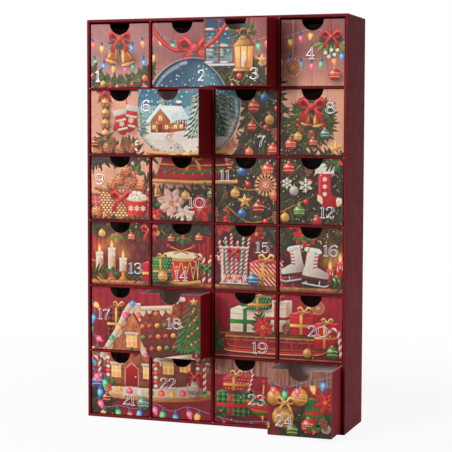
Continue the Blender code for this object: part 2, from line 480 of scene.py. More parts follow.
# A direction on the sheet, and how far its left side faces the light
def facingOf(angle):
    turn = math.radians(angle)
    cos, sin = np.array([math.cos(turn), math.sin(turn)]) @ stance[-1][0] / stance[-1][2]
    return cos, sin, sheet["lightFrom"][1] * cos - sheet["lightFrom"][0] * sin


def tint(colour):
    if isinstance(colour, str):
        return np.array([int(colour[i:i + 2], 16) / 255 for i in (0, 2, 4)], np.float32)
    return np.asarray(colour, np.float32)


# A mix of two colours, or the first alone where there is no second
def blend(first, second, share):
    second = first if second is None else second
    share = np.clip(share, 0, 1)
    share = share[..., None] if np.ndim(share) else share
    return tint(first) * (1 - share) + tint(second) * share


def lighter(colour, share):
    return blend(colour, "ffffff", share)


def darker(colour, share):
    return blend(colour, "000000", share)


def lay(here, cover, colour, rough=0.1):
    colour = tint(colour) * (1 + rough * mottle[here][..., None])
    paint[here] += (colour - paint[here]) * cover[..., None]


def window(lowX, lowZ, highX, highZ):
    left, low, cell = sheet["left"], sheet["low"], sheet["cell"]
    across = slice(*np.clip([int((lowX - left) / cell), int((highX - left) / cell) + 2], 0, len(pointX)))
    upward = slice(*np.clip([int((lowZ - low) / cell), int((highZ - low) / cell) + 2], 0, len(pointZ)))
    return (upward, across), pointX[None, across], pointZ[upward, None]


def around(x, z, wide, high):
    return window(x - wide, z - high, x + wide, z + high)


# The sheet round something that runs from a place along an angle, how far on and aside its points are, and its light
def strip(x, z, length, width, angle):
    cos, sin, facing = facingOf(angle)
    reach = length / 2 + width / 2 + 1
    here, gx, gz = around(x + cos * length / 2, z + sin * length / 2, reach, reach)
    return here, (gx - x) * cos + (gz - z) * sin, (gz - z) * cos - (gx - x) * sin, facing


def edgeCover(distance, soft=None):
    return np.clip(0.5 - distance / (soft or sheet["soft"]), 0, 1)


def glow(x, z, radius, colour, strength=0.6):
    x, z, radius = placed(x, z, radius)
    here, gx, gz = around(x, z, radius, radius)
    fall = np.clip(1 - np.hypot(gx - x, gz - z) / radius, 0, 1) ** 2 * strength
    paint[here] += (1 - paint[here]) * fall[..., None] * tint(colour)


def shadow(x, z, wide, high, strength=0.4):
    x, z, wide, high = placed(x, z, wide, high)
    here, gx, gz = around(x, z, wide, high)
    fall = np.clip(1 - np.hypot((gx - x) / wide, (gz - z) / high), 0, 1) * strength
    paint[here] *= 1 - fall[..., None]


# An oval shaded as a ball
def oval(x, z, wide, high, light, dark=None, angle=0, rough=0.1, soft=None, cover=1.0):
    x, z, wide, high = placed(x, z, wide, high)
    reach = max(wide, high) + 1
    here, gx, gz = around(x, z, reach, reach)
    cos, sin, _ = facingOf(angle)
    ring = np.hypot(((gx - x) * cos + (gz - z) * sin) / wide, ((gz - z) * cos - (gx - x) * sin) / high)
    lit = ((gx - x) * sheet["lightFrom"][0] + (gz - z) * sheet["lightFrom"][1]) / max(wide, high)
    colour = blend(light, dark, 0.46 - 0.5 * lit + 0.3 * ring ** 4)
    lay(here, edgeCover((ring - 1) * min(wide, high), soft) * cover, colour, rough)


# A petal, leaf, flame or loop: it starts at a point and runs along an angle
def petal(x, z, length, width, angle, light, dark=None, peak=0.5, sharp=1.0, rib=0.0, ridge=0.0, rough=0.08, cover=1.0,
          spikes=0):
    x, z, length, width = placed(x, z, length, width)
    here, along, across, facing = strip(x, z, length, width, angle)
    along = along / length
    inside = np.clip(along, 0, 1)
    half = np.clip(np.sin(np.pi * inside ** (math.log(0.5) / math.log(peak))), 0, 1) ** sharp * width / 2
    if spikes:
        half = half * (0.72 + 0.28 * np.abs(np.cos(np.pi * inside * spikes)) ** 0.6)
    beyond = np.maximum(np.abs(along - 0.5) - 0.5, 0) * length
    side = across / (half + 0.2)
    share = 0.45 - 0.45 * side * facing + 0.25 * side ** 2 + rib * np.clip(1 - np.abs(across) / 0.5, 0, 1)
    share = share - ridge * np.exp(-((side - 0.3 * facing) / 0.3) ** 2)
    lay(here, edgeCover(np.abs(across) - half + beyond) * cover, blend(light, dark, share), rough)


def outlineDistance(points, gx, gz):
    best = np.full(np.broadcast(gx, gz).shape, 1e9, np.float32)
    inside = np.zeros(best.shape, bool)
    for (ax, az), (bx, bz) in zip(points, np.roll(points, -1, 0)):
        ex, ez = bx - ax, bz - az
        share = np.clip(((gx - ax) * ex + (gz - az) * ez) / (ex * ex + ez * ez + 1e-12), 0, 1)
        best = np.minimum(best, (gx - ax - share * ex) ** 2 + (gz - az - share * ez) ** 2)
        if az != bz:
            inside ^= ((az > gz) != (bz > gz)) & (gx < (bx - ax) * (gz - az) / (bz - az) + ax)
    return np.where(inside, -1, 1) * np.sqrt(best)


# A filled outline: colours run from the first to the second along a direction, and rim tints its border
def shape(points, first, second=None, along=(0, -1), rim=None, rimWidth=1.2, rough=0.1, cover=1.0, soft=None,
          pattern=None, dome=0.0):
    points = onSheet(points)
    here, gx, gz = window(*(points.min(0) - 1), *(points.max(0) + 1))
    distance = outlineDistance(points, gx, gz)
    reach = points @ np.asarray(along, float)
    run = (gx * along[0] + gz * along[1] - reach.min()) / (np.ptp(reach) + 1e-9)
    colour = blend(first, second, run)
    if dome:
        colour = colour * (1 - dome + dome * 1.35 * np.sin(np.pi * np.clip(run, 0, 1))[..., None])
    if pattern:
        colour = pattern(colour, gx, gz)
    if rim is not None:
        colour = blend(colour, rim, np.clip(1 + distance / rimWidth, 0, 1) ** 1.5 * 0.8)
    lay(here, edgeCover(distance, soft) * cover, colour, rough)


def panel(lowX, lowZ, highX, highZ, *colours, **more):
    shape([(lowX, lowZ), (highX, lowZ), (highX, highZ), (lowX, highZ)], *colours, **more)


# A tube along a path, with a light top side, and stripes where they are asked for
def tube(points, width, light, dark=None, endWidth=None, stripe=None, pitch=5.0, rough=0.06, cover=1.0, soft=None):
    points, scale = onSheet(points), stance[-1][2]
    width, endWidth = width * scale, (width if endWidth is None else endWidth) * scale
    reach = max(width, endWidth) / 2 + 1
    here, gx, gz = window(*(points.min(0) - reach), *(points.max(0) + reach))
    lengths = np.hypot(*np.diff(points, axis=0).T) + 1e-9
    best, side, run, facing = (np.full(np.broadcast(gx, gz).shape, value, np.float32) for value in (1e9, 0, 0, 0))
    start = 0.0
    for (ax, az), (bx, bz), length in zip(points[:-1], points[1:], lengths):
        ex, ez = (bx - ax) / length, (bz - az) / length
        along = np.clip((gx - ax) * ex + (gz - az) * ez, 0, length)
        distance = np.hypot(gx - ax - along * ex, gz - az - along * ez)
        nearer = distance < best
        best = np.where(nearer, distance, best)
        side = np.where(nearer, (gz - az) * ex - (gx - ax) * ez, side)
        run = np.where(nearer, start + along, run)
        facing = np.where(nearer, sheet["lightFrom"][1] * ex - sheet["lightFrom"][0] * ez, facing)
        start += length
    half = (width + (endWidth - width) * run / start) / 2
    turned = np.clip(side / (half + 1e-6), -1, 1)
    colour = blend(light, light, 0)
    if stripe is not None:
        wave = (run + side * 0.9) / (pitch * scale)
        colour = blend(light, stripe, (np.abs(wave - np.floor(wave) - 0.5) - 0.25) * pitch * scale / 0.6 + 0.5)
    shade = np.clip(0.42 - 0.5 * turned * facing + 0.3 * turned ** 2, 0, 1)
    if stripe is not None and dark is not None:
        colour = colour * (1 - 0.75 * shade[..., None] * (1 - tint(dark)))
    elif dark is not None:
        colour = blend(colour, dark, shade)
    lay(here, edgeCover(best - half, soft) * cover, colour, rough)


def bar(startX, startZ, endX, endZ, *look, **more):
    tube([(startX, startZ), (endX, endZ)], *look, **more)


def arc(x, z, radius, start, end, steps=14, squash=1.0):
    turns = np.radians(np.linspace(start, end, steps))
    return np.column_stack((x + radius * np.cos(turns), z + radius * squash * np.sin(turns)))


def smooth(*points, steps=8):
    p = np.asarray(points, float)
    p = np.vstack((2 * p[0] - p[1], p, 2 * p[-1] - p[-2]))
    t = np.linspace(0, 1, steps, endpoint=False)[:, None]
    spans = [0.5 * (2 * b + (c - a) * t + (2 * a - 5 * b + 4 * c - d) * t ** 2 + (3 * b - a - 3 * c + d) * t ** 3)
             for a, b, c, d in zip(p[:-3], p[1:-2], p[2:-1], p[3:])]
    return np.vstack(spans + [p[-2:-1]])


# Places every so often along a path
def spaced(points, first, step):
    points = np.asarray(points, float)
    lengths = np.concatenate(([0], np.cumsum(np.hypot(*np.diff(points, axis=0).T))))
    return [(np.interp(run, lengths, points[:, 0]), np.interp(run, lengths, points[:, 1]))
            for run in np.arange(first, lengths[-1], step)]


# Motifs of the picture, each with its own settings

goldTone, creamTone, redTone = ("f7d57c", "80500f"), ("fff4e2", "c9a890"), ("e34c45", "6c0d14")
firLook = {
    "light": "6e8642", "dark": "1d1513", "bed": "1f3524", "deep": ("1a100c", "1e1613"), "pitch": 1.5, "ragged": 0.45,
}


def fir(x, z, length, width, angle, bend=0.0, light=None, dark=None, snow=0.0):
    x, z, length, width, bend = placed(x, z, length, width, bend)
    here, along, across, facing = strip(x, z, length, width + 2 * abs(bend), angle)
    share = np.clip(along / length, 0, 1)
    across = across - bend * share ** 2
    wave = (along - np.abs(across) * 0.95) / firLook["pitch"] + mottle[here] * 0.35
    tooth = np.abs(wave - np.floor(wave) - 0.5) * 2
    half = width / 2 * np.clip(1 - share ** 2.2, 0, 1) ** 0.7 * np.clip(share * 7 + 0.25, 0, 1)
    edge = np.abs(across) - half * (1 - firLook["ragged"] * tooth)
    edge += np.maximum(np.abs(along / length - 0.5) - 0.5, 0) * length
    lit = np.clip(0.42 + 0.4 * np.clip(across / (half + 0.3), -1, 1) * facing - 0.5 * tooth + 0.3 * share, 0, 1)
    colour = blend(firLook["dark"] if dark is None else dark, firLook["light"] if light is None else light, lit * 1.15)
    if snow:
        colour = blend(colour, "f2f4f6", across / (half + 0.3) * facing * 1.5 + snow - 0.6 * tooth)
    lay(here, edgeCover(edge, 0.6), colour, 0.25)


def firSpray(x, z, length, angle, count=5, spread=62, width=4.6):
    fir(x, z, length, width, angle)
    turn = math.radians(angle)
    for step in range(count):
        share = 0.12 + 0.75 * step / count
        for hand in (-1, 1):
            fir(x + math.cos(turn) * length * share, z + math.sin(turn) * length * share,
                length * 0.62 * (1 - share * 0.62), width * 0.92, angle + hand * spread * (1 - 0.45 * share))


def firBed(outline, spacing, angle, swing, seed, length=15):
    outline = np.asarray(outline, float)
    shape(outline, *firLook["deep"], rough=0.6, soft=3)
    gen = np.random.default_rng(seed)
    ahead = np.roll(outline, -1, 0)
    winding = np.sign(np.sum(outline[:, 0] * ahead[:, 1] - ahead[:, 0] * outline[:, 1]))
    for start, end in zip(outline, ahead):
        edge = end - start
        outward = math.degrees(math.atan2(-edge[0] * winding, edge[1] * winding))
        for share in np.arange(0.1, 1, 3.4 / np.hypot(*edge)):
            x, z = start + edge * share
            fir(x - 3 * math.cos(math.radians(outward)), z - 3 * math.sin(math.radians(outward)),
                length * gen.uniform(0.6, 0.95), gen.uniform(4, 5.6), outward + gen.uniform(-48, 48),
                light=blend(firLook["bed"], firLook["light"], gen.uniform(0.1, 0.8)))
    low, high = outline.min(0), outline.max(0)
    spots = [(x, z) for z in np.arange(low[1], high[1], spacing) for x in np.arange(low[0], high[0], spacing)]
    spots = np.array(spots) + gen.uniform(-spacing, spacing, (len(spots), 2)) * 0.6
    near = outlineDistance(outline, spots[:, 0][:, None], spots[:, 1][:, None])[:, 0]
    for (x, z), distance in zip(spots, near):
        if distance < 0:
            tone = gen.uniform(0.25, 1)
            fir(x, z, length * gen.uniform(0.7, 1.25), gen.uniform(4.2, 6.2), angle + gen.uniform(-swing, swing),
                gen.uniform(-1.5, 1.5), light=blend(firLook["bed"], firLook["light"], tone ** 1.4))


firTreeLook = {"tiers": 8, "light": "4f8a4c", "dark": "0e2a1c", "trunk": ("7a4a2a", "2a140c")}


def firTree(x, z, height, wide, snow=0.0, light=None, tiers=None):
    tiers = tiers or firTreeLook["tiers"]
    shadow(x, z, wide * 0.7, height * 0.1, 0.5)
    bar(x, z - height * 0.06, x, z + height * 0.2, wide * 0.1, *firTreeLook["trunk"])
    for tier in range(tiers):
        share = tier / tiers
        half = wide * 0.5 * (1 - share) + wide * 0.06
        count = max(2, int(5 * (1 - share)) + 1)
        for step in range(count * 2 + 1):
            lean = (step - count) / count
            fir(x + half * 0.22 * lean, z + height * (0.16 + 0.84 * (share + 0.75 / tiers)),
                height / tiers * 1.35 + half * 0.75 * abs(lean), half * 0.42 + 1.4, -90 + 62 * lean,
                light=light or firTreeLook["light"], dark=firTreeLook["dark"], snow=snow)


hollyLook = {"leaf": ("5c8f4a", "163a24"), "berry": ("f0503c", "7c0f12")}


def berry(x, z, r=1.7):
    oval(x, z, r, r, *hollyLook["berry"])
    glow(x - r * 0.35, z + r * 0.4, r * 0.6, "ffffff", 0.9)


@motif
def holly(leaves=3, berries=3):
    for step in range(leaves):
        petal(0, 0, 11, 6.4, (step - (leaves - 1) / 2) * 62, *hollyLook["leaf"], spikes=4, rib=0.4, rough=0.15)
    for step in range(berries):
        berry(1.6 * math.cos(step * 2.2 + 0.5), 1.4 * math.sin(step * 2.2 + 0.5), 1.6)


baubleLook = {
    "red": redTone, "wine": ("b83a3c", "45090f"), "gold": ("f2cc6a", "80500f"), "orange": ("f0955a", "93350f"),
    "blue": ("4aa2dc", "0c2e66"), "teal": ("4fb4a2", "0b3c40"), "green": ("5fa04a", "123a1c"),
    "silver": ("e6e0dc", "6f625f"), "cap": ("f3d98a", "8a5f1e"), "wire": "d8bf86", "band": "f7d98c",
}


def bauble(x, z, r, kind, bands=0, hang=0.0):
    light, dark = baubleLook[kind]
    if hang:
        bar(x, z + r, x + 0.4, z + r + hang, 0.45, baubleLook["wire"], cover=0.8)
    shadow(x + r * 0.5, z - r * 0.6, r * 1.7, r * 1.5, 0.55)
    oval(x, z, r, r, light, dark, rough=0.05)
    if bands:
        here, gx, gz = around(x, z, r, r)
        height = (gz - z) / r + 0.10 * ((gx - x) / r) ** 2
        wave = np.clip(1.3 - np.abs(np.abs(height) - 0.30) * r / 0.45, 0, 1)
        dots = np.hypot((np.mod((gx - x) / (r * 0.34) + 0.5, 1) - 0.5) * r * 0.34, height * r)
        dots = np.clip(1.2 - dots / (r * 0.11), 0, 1) * (bands > 1)
        inside = edgeCover(np.hypot(gx - x, gz - z) - r * 0.96)
        lay(here, np.maximum(wave, dots) * inside * 0.85, baubleLook["band"], 0)
    tube(arc(x, z, r * 0.82, -75, 10), r * 0.14, lighter(light, 0.3), cover=0.35, soft=r * 0.2 + 0.3)
    glow(x - r * 0.34, z + r * 0.40, r * 0.62, "ffffff", 0.75)
    petal(x - r * 0.55, z + r * 0.22, r * 0.5, r * 0.26, 62, "ffffff", cover=0.8)
    panel(x - r * 0.23, z + r * 0.93, x + r * 0.23, z + r * 1.2, *baubleLook["cap"], along=(1, 0))


def baubles(*rows):
    for row in rows:
        bauble(*row)


def garland(*points):
    for x, z in spaced(smooth(*points), 0, 2):
        oval(x, z, 0.75, 0.75, *baubleLook["gold"])


bulbLook = {
    "size": 9.4, "socket": ("5f86a8", "23466e"), "wire": "b9b6c4", "wireShade": "2b1c22",
    "pink": ("ff9ab4", "e0336c"), "yellow": ("ffe796", "f0a21c"), "blue": ("8fd0ff", "1674cf"),
    "green": ("8ff0b0", "129a58"), "red": ("ff9a86", "e2332c"), "orange": ("ffc88a", "ee6f1e"),
    "white": ("ffffff", "d9d2c4"),
}


@motif
def bulb(kind):
    light, dark = bulbLook[kind]
    length = bulbLook["size"]
    glow(length * 0.7, 0, length * 1.15, dark, 0.38)
    petal(length * 0.18, 0, length, length * 0.56, 0, light, dark, peak=0.42, rough=0.02)
    glow(length * 0.62, 0, length * 0.34, light, 0.85)
    petal(length * 0.42, -0.8, length * 0.34, 0.9, 0, "ffffff", cover=0.85)
    bar(-0.3, 0, length * 0.24, 0, 2.3, *bulbLook["socket"], soft=0.4)


def lightString(points, kinds, every=11.5, first=5.0, size=1.0, swing=14):
    points, kinds = smooth(*points), kinds.split()
    tube(points + (0.25, -0.45), 0.6, bulbLook["wireShade"], cover=0.35)
    tube(points, 0.5, bulbLook["wire"], cover=0.8)
    for step, (x, z) in enumerate(spaced(points, first, every)):
        bulb(x, z - 0.6, size, -90 + swing * math.sin(step * 2.4 + 1), kind=kinds[step % len(kinds)])


bowLook = {"red": ("e2463f", "6d0d14"), "gold": ("f7d382", "8a5416"), "green": ("4f9a4c", "0f3a1e")}


@motif
def bow(kind="red", tails=True):
    light, dark = bowLook[kind]
    bright, deep = lighter(light, 0.25), darker(dark, 0.25)
    shadow(1, -2, 13, 9, 0.4)
    for hand in (-1, 1) if tails else ():
        tail = [(0, 0), (3.6, -5), (5, -12.5), (7.4, -11.2), (9.8, -13.8), (7.2, -5), (2.4, 0.8)]
        shape(np.array(tail) * (hand, 1), light, dark, along=(0.3 * hand, -1), rim=dark, rimWidth=0.9)
    for hand in (-1, 1):
        lean = 90 - 66 * hand
        petal(0, 0, 11.5, 9.4, lean, light, dark, peak=0.62, sharp=0.8, ridge=0.25)
        petal(hand * 2.6, 1, 6.6, 4.4, lean, dark, deep, peak=0.6)
        petal(hand * 1.4, 2, 8.2, 1.5, lean + hand * 16, bright, light, cover=0.75)
        petal(hand * 1.2, -1, 7.4, 1, lean - hand * 18, bright, light, cover=0.5)
    oval(0, 0, 2.5, 2.7, bright, dark)


def ribbon(width, *points):
    points, (light, dark) = smooth(*points), bowLook["red"]
    tube(points, width, light, dark)
    tube(points + (-width * 0.18, width * 0.16), width * 0.16, lighter(light, 0.4), cover=0.5)


bellLook = {"body": ("c98a2c", "5e3510"), "shine": ("fff0ae", "e8ae48"), "rim": ("f9dd8c", "8c5718"), "line": "7a4a12"}


@motif
def bell():
    half = [(0, 9), (2.6, 8.4), (4, 5.8), (4.6, 2.2), (5.6, -1.4), (7.4, -4), (8.2, -5.2)]
    shadow(2, -3, 12, 12, 0.4)
    oval(0, -6.6, 2, 2, "f3c860", "5f360c")
    shape(half + [(-a, b) for a, b in half[::-1]], *bellLook["body"], along=(0.85, -0.3),
          rim=bellLook["line"], rimWidth=0.8)
    petal(-2.3, 7.8, 12, 2.8, -104, *bellLook["shine"], cover=0.9)
    petal(1.4, 7.6, 11, 1.6, -76, "f6cf70", "c98a2c", cover=0.6)
    shape([(8.4, -5), (6, -6.4), (0, -7), (-6, -6.4), (-8.4, -5), (-6, -4.4), (0, -3.9), (6, -4.4)],
          *bellLook["rim"], along=(1, 0), rim=bellLook["line"], rimWidth=0.5)
    for level, wide in ((1.2, 4.9), (-2.2, 6.2)):
        tube([(-wide, level), (0, level - 1), (wide, level)], 0.5, bellLook["line"], cover=0.6)
    tube(arc(0, 10.2, 1.5, 0, 350), 0.7, *baubleLook["cap"])


coneLook = {"tip": "d2a070", "scale": "7c4c2e", "deep": "2c160e"}


@motif    # 1 long, along its own first axis
def cone():
    shadow(0.5, 0, 0.63, 0.7, 0.4)
    petal(0, 0, 1, 0.63, 0, coneLook["scale"], coneLook["deep"], peak=0.42, sharp=0.8, rough=0.3)
    for row in range(7):
        share = 0.93 - row * 0.135
        half = math.sin(math.pi * share ** 0.8) * 0.29
        for step in range(5):
            off = (step - 2 + 0.5 * (row % 2)) * 0.46
            if abs(off) < 1.05:
                oval(share, half * off, 0.09, 0.053, coneLook["tip"], coneLook["deep"], angle=90, rough=0.2)


@motif
def poinsettia(light="e03f42", dark="6e0b14"):
    shadow(1, -2, 17, 15, 0.5)
    for step in range(5):
        petal(0, 0, 15, 7.6, 36 + 72 * step, "4f8a46", "123a20", rib=0.35, spikes=3)
    for ring, (count, length, width) in enumerate(((7, 13.5, 7.4), (6, 9.4, 5.6))):
        for step in range(count):
            angle = 360 * step / count + ring * 26
            petal(0, 0, length, width, angle, light, dark, rib=0.45, sharp=0.85)
            petal(0, 0, length * 0.9, 1.1, angle + 7, lighter(light, 0.45), light, cover=0.55)
    for step in range(6):
        oval(1.5 * math.cos(step), 1.5 * math.sin(step), 0.95, 0.95, "f2c84e", "8a5a12")


@motif    # its points reach 1 from the middle
def star(light="ffe694", dark="a2661c", points=5, inner=0.42):
    glow(0, 0, 1.7, light, 0.25)
    turns = math.pi / 2 + np.arange(points * 2 + 1) * math.pi / points
    reach = np.where(np.arange(points * 2 + 1) % 2, inner, 1.0)
    tips = np.column_stack((np.cos(turns) * reach, np.sin(turns) * reach))
    for step in range(points * 2):
        middle = tips[step] + tips[step + 1]
        lit = 0.3 - 0.3 * (middle @ sheet["lightFrom"]) / np.hypot(*middle) + (0.4 if step % 2 else 0.0)
        shape([(0, 0), tips[step], tips[step + 1]], blend(light, dark, lit), rough=0.08, soft=0.35)


@motif    # also 1 from the middle
def strawStar(arms=8):
    shadow(0.06, -0.06, 1.05, 1.05, 0.35)
    for step in range(arms):
        turn = math.radians(180 * step / arms + 6)
        petal(-math.cos(turn), -math.sin(turn), 2, 0.13, math.degrees(turn), "f0cfa0", "8d5c34", sharp=0.35, rough=0.12)
    for step in range(arms * 2):
        turn = math.radians(180 * step / arms + 6)
        for fork in (-22, 22):
            petal(0.62 * math.cos(turn), 0.62 * math.sin(turn), 0.34, 0.07, math.degrees(turn) + fork,
                  "f0cfa0", "a6764a", sharp=0.4)
    for r, width in ((0.34, 0.055), (0.58, 0.04)):
        tube(arc(0, 0, r, 0, 360, 28), width, "b3262a", cover=0.9)
    oval(0, 0, 0.1, 0.1, "f6dfb4", "a6764a")


@motif    # also 1 from the middle
def snowflake(colour="fff4e2", width=0.16):
    for step in range(6):
        turn = math.radians(30 + 60 * step)
        bar(0, 0, math.cos(turn), math.sin(turn), width, colour)
        for share in (0.45, 0.72):
            for fork in (-1, 1):
                base = share * math.cos(turn), share * math.sin(turn)
                reach = 0.3 * (1.4 - share)
                tip = base[0] + reach * math.cos(turn + fork), base[1] + reach * math.sin(turn + fork)
                tube([base, tip], width * 0.85, colour)


caneLook = {"red": "c8252b", "white": "fff6ee", "shade": "6a3a3a"}


@motif    # 30 high
def cane():
    path = np.vstack(([(0, 0), (0, 12)], arc(-5.1, 21.6, 5.1, 0, 190, 12)))
    tube(path + (1.2, -1), 4.2, "1c0a0c", cover=0.25, soft=1.6)
    tube(path, 3.8, caneLook["white"], caneLook["shade"], stripe=caneLook["red"], pitch=6.2)
    tube(path + (-0.8, 0.3), 0.55, "ffffff", cover=0.6)


giftLook = {
    "red": ("d0343f", "7c1220"), "wine": ("8f2029", "43080e"), "green": ("3f9a4a", "0f4222"),
    "gold": ("f4cf73", "9a6420"), "cream": ("fff4e2", "b89a86"), "print": "fbe9c6", "plaidLine": "f2d27a",
}


# How near a point is to every so many millimetres: 1 on the line, 0 beyond half its width
def lines(place, every, at, width, sharp=1.0):
    return np.clip(width - np.abs(np.mod(place, every) - at) * sharp, 0, 1)


def wrapPattern(kind):
    def dots(colour, gx, gz):
        off = np.hypot(np.mod(gx + 1.7 * np.floor(gz / 3.4), 3.4) - 1.7, np.mod(gz, 3.4) - 1.7)
        return blend(colour, giftLook["print"], np.clip(1.1 - off, 0, 1) * 0.8)

    def plaid(colour, gx, gz):
        colour = colour * (1 - (lines(gx, 6, 3, 1.4) * 0.35 + lines(gz, 6, 3, 1.4) * 0.35)[..., None])
        return blend(colour, giftLook["plaidLine"], (lines(gx, 6, 5.4, 0.8, 2) + lines(gz, 6, 5.4, 0.8, 2)) * 0.6)

    def stripes(colour, gx, gz):
        wave = np.clip((np.abs(np.mod(gx + gz, 5) - 2.5) - 1.25) * 2 + 0.5, 0, 1)
        return blend(colour, giftLook["print"], wave * 0.75)

    return {"dots": dots, "plaid": plaid, "stripes": stripes}.get(kind)


def gift(x, z, wide, high, kind="red", tie="gold", wrap=None):
    (light, dark), (tieLight, tieDark) = giftLook[kind], giftLook[tie]
    side, rise, pattern = wide * 0.28, wide * 0.118, wrapPattern(wrap)
    right, top = x + wide, z + high
    shadow(x + wide / 2 + side / 2, z, wide * 0.9, high * 0.35, 0.6)
    shape([(right, z), (right + side, z + rise), (right + side, top + rise), (right, top)],
          blend(light, dark, 0.72), darker(dark, 0.3), pattern=pattern)
    shape([(x, top), (right, top), (right + side, top + rise), (x + side, top + rise)],
          lighter(light, 0.22), light, along=(1, -0.3))
    panel(x, z, right, top, light, dark, along=(0.5, -1), pattern=pattern, rim=blend(light, dark, 0.6), rimWidth=0.8)
    bar(x, z + high * 0.8, right, z + high * 0.8, 0.7, darker(dark, 0.2), cover=0.6)
    bar(x, z + high * 0.8 + 0.7, right, z + high * 0.8 + 0.7, 0.4, lighter(light, 0.4), cover=0.5)
    band = max(wide * 0.13, 2)
    low, middle = x + wide * 0.5 - band / 2, z + high * 0.45 - band / 2
    panel(low, z, low + band, top, tieLight, tieDark, along=(0.4, -1), rim=tieDark, rimWidth=0.5)
    shape([(low, top), (low + band, top), (low + band + side, top + rise), (low + side, top + rise)],
          lighter(tieLight, 0.3), tieLight)
    panel(x, middle, right, middle + band, tieLight, tieDark, along=(1, -0.3), rim=tieDark, rimWidth=0.5)
    over = middle + band
    shape([(right, middle), (right + side, middle + rise), (right + side, over + rise), (right, over)],
          blend(tieLight, tieDark, 0.7), tieDark)
    size = wide / 34
    bow(x + wide * 0.5 + side * 0.5, top + rise * 0.5 + 2.5 * size, size, kind=tie, tails=False)


def candle(x, z, wide, high, light="f6ead6", dark="a3724e", flame=1.0):
    top = z + high
    panel(x - wide / 2, z, x + wide / 2, top, light, dark, along=(1, -0.1), dome=0.18, rough=0.05)
    oval(x, top, wide / 2, wide * 0.16, lighter(light, 0.3), light)
    for step, drip in enumerate((0.7, 0.35, 0.5)):
        petal(x + wide * (step - 1) * 0.3, top + 0.3, high * 0.18 + wide * drip, wide * 0.2, -90,
              "ffffff", light, peak=0.7)
    bar(x, top, x, top + 1.4, 0.5, "2a1410")
    glow(x, top + 5 * flame, 16 * flame, "ffb84a", 0.55)
    petal(x, top + 0.6, 8.6 * flame, 3.6 * flame, 90, "ffe07a", "f58a1c", peak=0.34, rough=0)
    petal(x, top + 1, 5.4 * flame, 1.9 * flame, 90, "fffbe0", "ffe07a", peak=0.36, rough=0)


def woven(colour, gx, gz, wide=4.4, high=2.8):
    phase = np.mod(gx / wide + 0.5 * np.mod(np.floor(gz / high), 2), 1)
    bump = np.sin(np.pi * phase) * np.sin(np.pi * np.mod(gz / high, 1)) ** 0.6
    return blend("5a3020", "e6b984", bump * 1.2) * (0.75 + 0.5 * colour)


def oranges(*rows):
    for x, z, r in rows:
        shadow(x + r * 0.3, z - r * 0.6, r * 1.4, r * 1.2, 0.5)
        oval(x, z, r, r * 0.96, "efb068", "8c4628", rough=0.3)
        glow(x - r * 0.35, z + r * 0.4, r * 0.6, "fff0c0", 0.6)
        for ring, count in ((0, 1), (0.42, 6), (0.76, 10)):
            for step in range(count):
                turn = 2 * math.pi * step / count + ring
                oval(x + r * ring * math.cos(turn), z + r * ring * math.sin(turn), 0.7, 0.7, "8a4a1c", "2a1008")


@motif
def cinnamon(count=4):
    for step in range(count):
        off = (step - (count - 1) / 2) * 2.2
        end = 18 - abs(off) * 0.5
        bar(0, off, end, off, 2.4, "c98452", "5a2a12", rough=0.3)
        oval(end, off, 1.2, 1.2, "8a4f28", "3a1808")
    bar(8.1, -1.2 * count, 8.1, 1.2 * count, 2.2, *giftLook["red"])


cottageLook = {
    "wall": ("b9784a", "5c2c1a"), "snow": ("ffffff", "b9cfe0"), "window": ("fff3a8", "f9b64a"), "frame": "5a2f18",
}


@motif
def cottage():
    light, dark = cottageLook["wall"]
    snow, frame = cottageLook["snow"], cottageLook["frame"]
    high = stance[-1][2] * 2.3

    def logs(colour, gx, gz):
        return colour * (0.78 + 0.3 * np.abs(np.sin(gz * math.pi / high)))[..., None]

    shape([(10, 0), (27, 2.5), (27, 13), (10, 13)], blend(light, dark, 0.45), dark, along=(1, 0), pattern=logs)
    shape([(-10, 0), (10, 0), (10, 13), (0, 23), (-10, 13)], light, dark, along=(0.4, -1), pattern=logs)
    shape([(-2.6, 0), (2.6, 0), (2.6, 8), (0, 9.4), (-2.6, 8)], "8c1c20", "4a0c10", rim="f2cf8a", rimWidth=0.5)
    for x, z in ((-6.4, 5.2), (6.4, 5.2), (0, 13.4), (15.5, 5.6), (21.5, 6)):
        glow(x, z, 8, "ffb040", 0.5)
        panel(x - 1.9, z - 2.2, x + 1.9, z + 2.2, *cottageLook["window"], rim=frame, rimWidth=0.55, rough=0.02)
        bar(x, z - 2, x, z + 2, 0.4, frame)
    bar(19, 20, 19, 29, 4.4, "a8584a", "4a1a18")
    oval(19, 29.4, 3.2, 1.5, *snow)
    shape([(1, 26), (-1, 24.5), (10, 13), (12, 11.4), (30, 12.6), (22, 25.5)], *snow, along=(0.5, -1), soft=0.8,
          rim="d4e2ee", rimWidth=1)
    tube([(-12.6, 10.6), (-9, 15.6), (0, 25.6), (9.4, 15.2), (12.6, 11)], 3.6, *snow)
    for step in range(7):
        petal(12.5 + step * 2.7, 12, 3 + (step * 7 % 3), 1.2, -90, "ffffff", "a8c6dc", peak=0.3)


globeLook = {
    "r": 55, "night": ("1a4260", "5aaab0"), "snow": ("f8f0e8", "b7a9ae"), "base": ("c9323a", "4f0a12"), "flakes": 150,
    "trees": [(-47, -24, 20), (-30, -20, 18), (42, -20, 34), (30, -8, 25), (18, -4, 17), (-18, -2, 15)],
    # each shine on the glass: share of the radius, from and to in degrees, both widths and its cover
    "glass": [(0.9, 112, 172, 5, 1, 0.42), (0.92, 100, 107, 4, 4, 0.5), (0.92, -48, 10, 1.6, 3.4, 0.34),
              (0.8, 52, 76, 2.6, 0.8, 0.3)],
}


